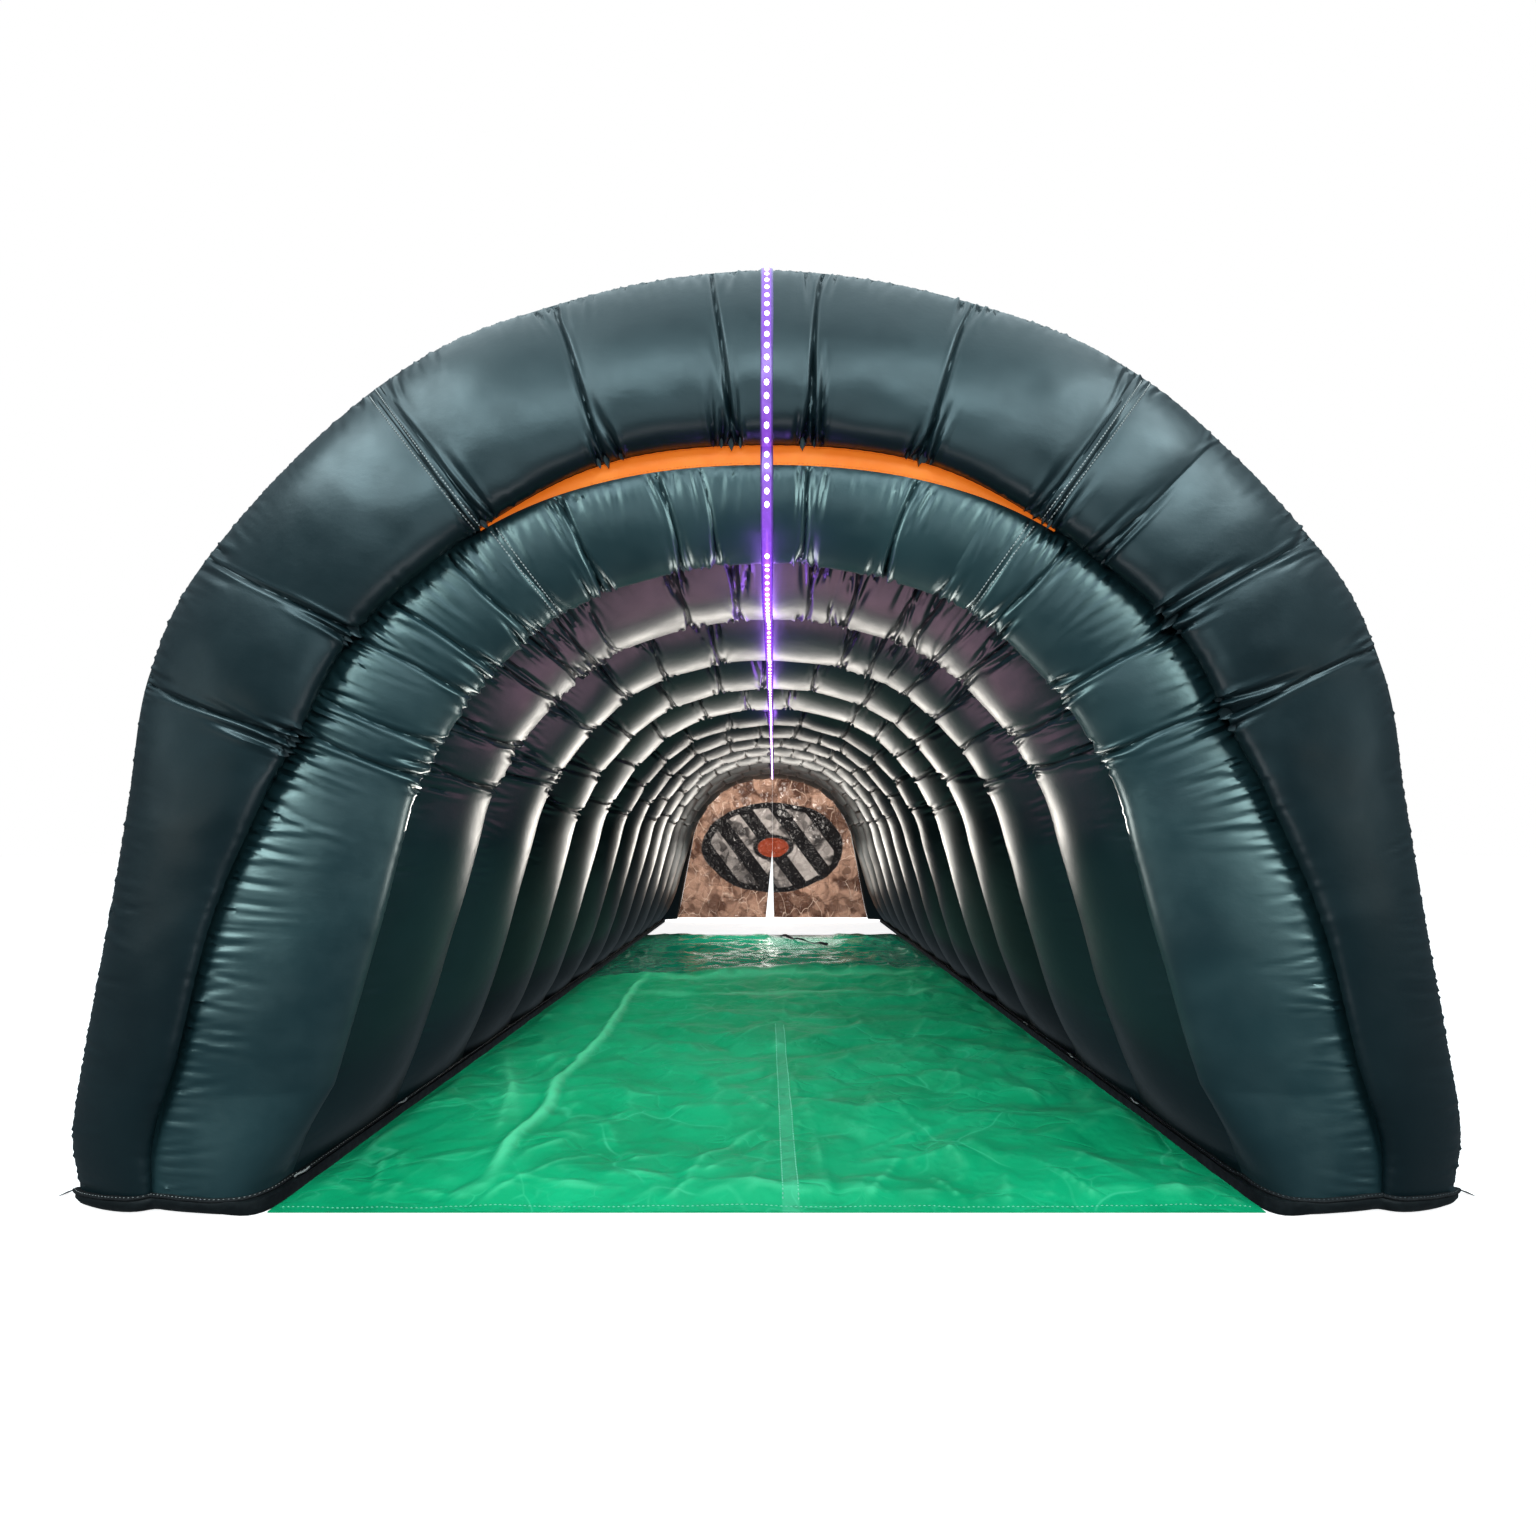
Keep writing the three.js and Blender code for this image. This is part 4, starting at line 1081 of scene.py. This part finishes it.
def light_strip():
    line = crown_line()
    far = run_of(line)
    ahead, _ = course(line)
    sway = 0.0012 * np.sin(far * 3.1) + 0.0008 * np.sin(far * 7.3)
    half, high, size, pitch = 0.0215, 0.0050, 0.0105, 0.041
    angles = np.linspace(0, 2 * math.pi, 12, endpoint=False)
    c, s = np.cos(angles), np.sin(angles)
    x = half * np.sign(c) * np.abs(c) ** 0.6
    v = high * np.sign(s) * np.abs(s) ** 0.8
    mid = beside(line, -0.0062)
    rings = [x + sway[:, None], mid[:, :1] + ahead[:, 1:] * v, mid[:, 1:] - ahead[:, :1] * v]
    settle(loft("light_sleeve", np.stack(rings, axis=-1), SLEEVE), "light", "light_strip")
    # The lamps, each a low eight-sided dome, with none over one short stretch
    unlit = (0.93, 1.06)
    points, faces = [], []
    front = beside(line, -0.0115)
    corner = np.arange(8) * math.pi / 4
    lit = [at for at in np.arange(0.02, far[-1] - 0.02, pitch) if not unlit[0] < at < unlit[1]]
    for at in lit:
        y, z = read(front, far, at)
        dy, dz = read(ahead, far, at)
        x = np.interp(at, far, sway)
        k = len(points)
        for wide, long, rise in ((0.8, 1, 0), (0.5, 0.6, 0.003)):
            across, along = size * wide * np.cos(corner), size * long * np.sin(corner)
            dome = [x + across, y + dy * along + dz * rise, z + dz * along - dy * rise]
            points += np.column_stack(dome).tolist()
        faces += [[k + u, k + (u + 1) % 8, k + 8 + (u + 1) % 8, k + 8 + u] for u in range(8)]
        faces += [[k + 8 + u for u in range(8)], [k + 7 - u for u in range(8)]]
    settle(outward(make_mesh("light_dots", points, faces, LAMPS, 0)), "light")


# The groundsheet
def pleat_x(y):
    return -1.010 - 0.150 * np.clip(y / 4.1, -0.1, 1.9) + 0.030 * smooth_noise(y, 0 * y, 0.42, 8)


def sheet_height(x, y):
    """The form that the solid has."""
    pleat = (0.026 + 0.010 * smooth_noise(y, 0 * y, 0.3, 9)) * hump(x - pleat_x(y), 0.055)
    pleat = pleat * between(y, SHEET_FRONT, 4.1, 0.5)
    wave = 0.036 * hump(y - 4.6 - 0.14 * x, 0.33) * between(x, -0.9, 1.35, 0.45)
    ripple = 0.009 * np.maximum(0, np.sin(x / 0.19 + y / 0.52) * np.sin(y / 0.33 - x / 0.61))
    edges = between(x, -SHEET_HALF, SHEET_HALF, 0.26) * between(y, SHEET_FRONT, SHEET_BACK, 0.4)
    flat = 1 - between(x, -0.45, 1.3, 0.26) * between(y, 5.65, 8.2, 0.26)
    return pleat + (wave + ripple) * edges * flat


def facets(x, y, cell, height, seed):
    """Flat faces that meet in creases, about cell wide, up to height in or out of the plane."""
    lattice = np.random.default_rng(seed).uniform(-1, 1, (64, 64))
    turn = 0.4 + seed
    drift, other = [0.55 * smooth_noise(x, y, cell * 1.4, seed + k) for k in (1, 2)]
    u = (x * math.cos(turn) - y * math.sin(turn)) / cell + drift + 20
    v = (x * math.sin(turn) + y * math.cos(turn)) / cell + other + 20
    i, j = np.floor(u).astype(int), np.floor(v).astype(int)
    a, b = u - i, v - j
    corners = ((0, 0), (1, 0), (0, 1), (1, 1))
    near, right, ahead, far = [lattice[(i + m) % 64, (j + n) % 64] for m, n in corners]
    first = near + a * (right - near) + b * (ahead - near)
    second = far + (1 - a) * (ahead - far) + (1 - b) * (right - far)
    return height * np.where(a + b < 1, first, second)


# Folds of the groundsheet by place, turn, half length, half width and height: the two soft folds in the left
# half, then creases left from folding
SOFT_FOLDS = [
    ((-1.30, 1.05), 1.95, 0.72, 0.050, 0.020), ((-1.22, 0.75), 1.8, 0.5, 0.03, 0.012),
]
CREASES = [
    ((0.05, 1.9), 1.52, 2.2, 0.012, 0.006), ((0.45, 3.2), 0.10, 1.1, 0.02, 0.010),
    ((-0.3, 2.3), 0.25, 0.9, 0.02, 0.009), ((0.9, 1.2), 2.5, 0.8, 0.02, 0.010),
    ((0.6, 4.95), 0.12, 1.0, 0.022, 0.012), ((-0.2, 5.3), -0.15, 0.9, 0.022, 0.012),
    ((0.7, 0.5), 0.6, 0.7, 0.02, 0.008),
]
CLOTH = 0.0025


def sheet_relief(x, y):
    """Heights of the crumpled sheet, flatter at its rim and under the strap."""
    r = np.random.default_rng(5)
    extra = np.zeros_like(x)
    for _ in range(190):
        at = (r.uniform(-1.6, 1.6), SHEET_FRONT + (SHEET_BACK - SHEET_FRONT) * r.uniform(0, 1) ** 1.5)
        turn = r.choice([r.uniform(-0.5, 0.5), r.uniform(0.9, 2.2), r.uniform(0, 3.1)], p=[0.45, 0.3, 0.25])
        fold(x, y, extra, at, turn, r.uniform(0.12, 0.75), r.uniform(0.012, 0.030), r.uniform(0.003, 0.012))
    for one in SOFT_FOLDS + CREASES:
        fold(x, y, extra, *one)
    extra += 0.022 + facets(x, y, 0.27, 0.026, 2) + facets(x, y, 0.13, 0.012, 7)
    extra = np.maximum(extra, 0)
    extra *= 1 - 0.98 * between(x, -0.1, 0.9, 0.15) * between(y, 6.1, 7.6, 0.15)
    edge = np.minimum(SHEET_HALF - np.abs(x), np.minimum(y - SHEET_FRONT, SHEET_BACK - y))
    z = sheet_height(x, y) + extra * (0.15 + 0.85 * step_up(edge, 0.0, 0.12)) + CLOTH
    return z + 0.0018 * smooth_noise(x, y, 0.09, 3) * step_up(edge, 0, 0.1) + 0.0018 * step_up(edge, 0, 0.1)


def sheet_wear_highlight_and_shade(x, y, z):
    """Where the sheet is pale (above 0) on its ridges and folds, partly rubbed wear and partly painted
    highlight, and dark (below 0) in its valleys, which is painted shade.
    """
    step_x, step_y = np.gradient(x[:, 0])[:, None], np.gradient(y[0])[None, :]
    bend = np.gradient(np.gradient(z, axis=0), axis=0) / step_x**2
    bend = bend + np.gradient(np.gradient(z, axis=1), axis=1) / step_y**2
    pale = np.zeros_like(z)
    # Pale bands on the crests of the soft folds, the pleat and the two folds across: partly rubbed wear,
    # partly painted highlight
    for (at, turn, long, *_), half, power in zip(SOFT_FOLDS, (0.035, 0.02), (0.6, 0.4)):
        fold(x, y, pale, at, turn, long, half, power)
    pale += 0.75 * hump(x - pleat_x(y) - 0.01, 0.050) * between(y, SHEET_FRONT, 6.5, 0.4)
    across = 4.32 + 0.14 * x + 0.05 * smooth_noise(x, 0 * x, 0.5, 4)
    pale += 0.85 * hump(y - across, 0.17) * between(x, -1.2, 1.5, 0.3)
    pale += 0.65 * hump(y - across + 0.85 + 0.10 * x, 0.12) * between(x, -1.3, 1.5, 0.3)
    # The dark part, in the valleys, is painted shade
    return np.clip(-bend / 28 - 0.10, 0, 0.8) + pale - 0.5 * np.clip(bend / 50 - 0.08, 0, 1)


def groundsheet():
    count_x, count_y = 196, 240
    u = np.linspace(0, 1, count_y)
    across = np.linspace(-SHEET_HALF, SHEET_HALF, count_x)
    inwards = SHEET_FRONT + (SHEET_BACK - SHEET_FRONT) * (0.45 * u + 0.55 * u**2.2)
    x, y = np.meshgrid(across, inwards, indexing="ij")
    z = sheet_relief(x, y)
    top = np.stack([x, y + SEAM_Y, z], axis=-1).reshape(-1, 3)
    # The rim turns down to the ground
    ring = [i * count_y for i in range(count_x)] + [(count_x - 1) * count_y + j for j in range(1, count_y)]
    ring += [i * count_y + count_y - 1 for i in range(count_x - 2, -1, -1)] + list(range(count_y - 2, 0, -1))
    low = top[ring] * [1, 1, 0] + [0, 0, 0.0004]
    start = len(top)
    after = [(k + 1) % len(ring) for k in range(len(ring))]
    skirt = [[ring[k], start + k, start + n, ring[n]] for k, n in enumerate(after)]
    faces = grid_faces(count_x, count_y) + skirt
    piece = make_mesh("groundsheet_cloth", np.vstack([top, low]), faces, GREEN, 60)
    piece.visible_diffuse = False
    piece.visible_glossy = False
    # The sheet's pale ridges (wear and painted highlight) and painted valley shade, for its material
    wear_highlight_and_shade = piece.data.attributes.new("ridge", "FLOAT", "POINT")
    wear_highlight_and_shade.data.foreach_set("value", np.concatenate([sheet_wear_highlight_and_shade(x, y, z).reshape(-1), np.zeros(len(low))]))
    settle(piece, "groundsheet", "groundsheet")

    def thread(px, py):
        """A point on the sheet's top, and the way up."""
        i, j = np.interp(px, across, np.arange(count_x)), np.interp(py, inwards, np.arange(count_y))
        a, b = min(int(i), count_x - 2), min(int(j), count_y - 2)
        height = blend(lambda m, n: z[m, n], a, b, i - a, j - b)
        return np.array([px, py + SEAM_Y, height + 0.0006]), np.array([0, 0, 1.0])

    hem = [[thread(px, SHEET_FRONT + 0.03) for px in np.linspace(-1.68, 1.68, 240)]]
    for gap in (0, 0.055):
        hem.append([thread(0.035 + gap + 0.02 * (1 - py / 2.2), py) for py in np.linspace(-0.15, 2.3, 240)])
    threads = stitches("sheet_stitches", hem, GREEN_THREAD, "groundsheet", 0.013, 0.0060, 0.0020, 0.017)


# The curtain
def curtain(side):
    name = sided("curtain", side)
    rows = np.concatenate([np.linspace(8.9, 4, 46), np.linspace(4, 0.25, 60)[1:]])
    st = Stations(side * rows)
    edge = st.points(-(end_draw(st) + 0.0008)[:, None], 0)[:, 0]
    slit, slit_top = (0.110 if side < 0 else 0.025), 1.137
    start = side * (0.001 + slit * np.clip((slit_top - edge[:, 2]) / slit_top, 0, None))
    t = np.linspace(0, 1, 110)
    x = start[:, None] + (edge[:, 0] - start)[:, None] * t
    z = np.repeat(edge[:, 2:3], len(t), 1)
    pleat = 0.022 * np.sin(x / 0.076 + 0.8 * np.sin(z / 0.5))
    r = np.random.default_rng(31 if side < 0 else 32)
    extra = np.zeros_like(x)
    for _ in range(170):
        at = (side * r.uniform(0, 1.4), r.uniform(0.1, 2.2))
        turn = r.choice([r.uniform(1.2, 1.9), r.uniform(0, 3.14)], p=[0.45, 0.55])
        fold(x, z, extra, at, turn, r.uniform(0.08, 0.45), r.uniform(0.010, 0.022), r.uniform(-0.010, 0.010))
    rim = np.minimum(np.abs(x - edge[:, 0:1]) / 0.05, 1)
    y = TUNNEL_END + END_CREST + pleat + np.clip(extra, -0.014, 0.014) * rim
    p = np.stack([x, y + SEAM_Y, z], axis=-1)
    piece = make_mesh(name + "_cloth", p.reshape(-1, 3), grid_faces(len(rows), len(t)), COPPER, 0)
    settle(piece, "curtain", name)


# The feet
def foot_front():
    """The front of the right foot on the floor plan, from its outer front corner to the inner seam."""
    st = Stations([float(FOOT)])
    fine = np.linspace(1, 0, 30)
    outer, inner = [st.points(*panel(st, fine))[0, :, :2] for panel in (outer_panel, inner_panel)]
    return np.concatenate([outer, inner[1:-1]])


def front_lift(y, share):
    """In front of the foot the rim arches up a little between the corners."""
    return np.where(y < SEAM_Y - 0.02, np.sin(math.pi * share), 0) * 0.012


def sole(side):
    """The base panel of one row of feet: a lens in front, and a flat strip along the inside."""
    st = Stations([float(FOOT)])
    inner = st.inner[0, 0]
    outer = inner + st.thick[0] + st.bulge[0] + 0.012
    back = SEAM_Y + TUNNEL_END + 0.27
    x_in = inner - st.bulge[0] - 0.030
    rim = beside(foot_front(), 0.022)
    line = [(outer, SEAM_Y), (outer, SEAM_Y - 0.09)] + [tuple(p) for p in rim if 1.80 < p[0] < outer - 0.02]
    line += [(x_in + 0.058, SEAM_Y - 0.236), (x_in + 0.014, SEAM_Y - 0.216), (x_in, SEAM_Y - 0.15)]
    line += [(x_in, back - 0.14), (x_in + 0.14, back), (outer - 0.14, back), (outer, back - 0.14)]
    line = resample(np.array(line + line[:1]), 721)[:-1]
    for _ in range(3):
        line = (np.roll(line, 1, 0) + 2 * line + np.roll(line, -1, 0)) / 4
    d = unit(np.roll(line, -1, 0) - np.roll(line, 1, 0))
    inward = np.stack([d[:, 1], -d[:, 0]], axis=1)
    x, y = line.T
    lift = front_lift(y, np.clip((x - x_in) / (outer - x_in), 0, 1))
    in_front = np.maximum(step_up(x, x_in + 0.05, x_in + 0.25) * step_up(SEAM_Y - y, 0, 0.12),
                          step_up(x, x_in + 0.4, x_in + 0.6))
    rings = []
    for inset, height in ((0.075, 0.0), (0.045, 0.0015), (0.022, 0.007), (0.008, 0.017), (0.0, 0.030),
                          (0.001, 0.042), (0.008, 0.048), (0.030, 0.0458)):
        p = line + inward * (inset * (0.12 + 0.88 * in_front))[:, None]
        rings.append(np.column_stack([p[:, 0] * side, p[:, 1], height + lift * min(1, height / 0.04)]))
    name = sided("sole", side)
    piece = settle(loft(name + "_cloth", rings, SOLE, 70), "sole", name)


def binding(side):
    """The stitched tape along the foot line: over the foot's front, then inside to the last seam."""
    inner = Stations([float(FOOT)]).inner[0, 0]
    wall = np.linspace(SEAM_Y + 0.02, SEAM_Y + TUNNEL_END - 0.02, 240)
    inside = np.column_stack([np.full(240, inner - 0.020), wall])
    line = beside(resample(np.concatenate([foot_front(), inside]), 700), 0.010)
    _, left = course(line)
    z = 0.0515 + front_lift(line[:, 1], np.clip((line[:, 0] - inner) / 0.66, 0, 1))
    wave = 0.0008 * np.sin(np.arange(len(line)) * 0.9)
    rings = []
    for across, up in ((0.011, -0.004), (0.012, 0.000), (0.008, 0.0032), (0, 0.0040), (-0.008, 0.0032),
                       (-0.012, -0.002)):
        q = line + left * across
        rings.append(np.column_stack([q[:, 0] * side, q[:, 1], z + up + wave]))
    name = sided("binding", side)
    settle(loft(name + "_tape", np.array(rings).transpose(1, 0, 2), WEBBING), "webbing", name)
    q = line + left * 0.006
    out = unit(np.column_stack([left * [side, 1], np.full(len(left), 0.6)]))
    run = list(zip(np.column_stack([q[:, 0] * side, q[:, 1], z + 0.0042]), out))
    thread = WHITE_THREAD if side < 0 else GREY_THREAD
    stitches(name + "_stitches", [run], thread, "webbing", 0.008, 0.0024, 0.0014, 0.015)


def corner_tab(side):
    """A short webbing loop at the outer front corner, with its end on the ground."""
    low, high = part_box("corner_tab_right")
    start = low.x + 0.0015
    middle, half = (low.y + high.y) / 2, (high.y - low.y) / 2
    route = [(0, 0.049), (-0.001, 0.034), (0.010, 0.026), (0.036, 0.019), (0.060, 0.010), (0.078, 0.0035)]
    line = resample(np.array(route), 26)
    _, n = course(line)
    outline = ((-1, -0.8), (-0.9, -1), (0.9, -1), (1, -0.8), (1, 0.8), (0.9, 1), (-0.9, 1), (-1, 0.8))
    rings = []
    for k, share in enumerate(np.linspace(0, 1, len(line))):
        waist = 1 - 0.35 * math.sin(math.pi * share)
        section = [(v, line[k] + n[k] * 0.0014 * w) for v, w in outline]
        rings.append([((start + q[0]) * side, middle + v * half * waist, q[1]) for v, q in section])
    name = sided("corner_tab", side)
    settle(loft(name + "_webbing", rings, WEBBING), "webbing", name)


# Cords
def tie(number):
    """A short cord end on the rim, where a cell's seam meets the floor."""
    node = f"seam_tie_{number}"
    low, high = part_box(node)
    middle = (low + high) / 2
    side = 1 if middle.x > 0 else -1
    radius = 0.0035
    count = 17
    path = []
    for u in np.linspace(0, 1, count).tolist():
        x = middle.x + side * 0.004 * math.sin(u * 5 + number)
        path.append((x, low.y + (high.y - low.y) * u, middle.z + 0.0008 * math.sin(u * 9)))
    curve = bpy.data.curves.new(node + "_cord", "CURVE")
    curve.dimensions = "3D"
    curve.bevel_depth = radius
    curve.bevel_resolution = 3
    curve.use_fill_caps = True
    spline = curve.splines.new("POLY")
    spline.points.add(count - 1)
    for point, place in zip(spline.points, path):
        point.co = (*place, 1)
    piece = bpy.data.objects.new(node + "_cord", curve)
    bpy.context.scene.collection.objects.link(piece)
    curve.materials.append(CORD)
    settle(piece, "cord", node)


def strap():
    """The loose webbing strap on the far end of the sheet."""
    a, b, c = np.array([(0.110, 7.420), (0.330, 6.920), (0.674, 6.390)])
    far = np.linspace(0, 1, 60)
    t = far[:, None]
    line = (1 - t) ** 2 * a + 2 * t * (1 - t) * (2 * b - (a + c) / 2) + t**2 * c
    _, left = course(line)
    tilt = 0.95 * np.sin(far * 8)
    z = 0.0088 + 0.006 * np.sin(far * 9) ** 2 + 0.004 * np.sin(far * 23) ** 2 + 0.019 * np.abs(np.sin(tilt))
    rings = []
    for across, up in ((-0.019, 0), (-0.018, 0.0012), (0.018, 0.0012), (0.019, 0), (0.018, -0.0012),
                       (-0.018, -0.0012)):
        q = line + left * (across * np.cos(tilt) - up * np.sin(tilt))[:, None]
        high = z + across * np.sin(tilt) + up * np.cos(tilt)
        rings.append(np.column_stack([q[:, 0], q[:, 1] + SEAM_Y, high]))
    piece = loft("strap_webbing", np.array(rings).transpose(1, 0, 2), WEBBING)
    settle(piece, "webbing", "strap")
    middle = np.column_stack([line[:, 0], line[:, 1] + SEAM_Y, z])


camera()
for number in range(1, 6):
    tie(number)
sky()
stage()
outer_surface = mouth_outer()
inner_surface = mouth_inner()
for index in range(CELLS):
    air_cell(index)
end_ring()
seam_threads(outer_surface, inner_surface)
crescent()
light_strip()
groundsheet()
for side in (-1, 1):
    curtain(side)
    sole(side)
    binding(side)
    corner_tab(side)
strap()
lamps()
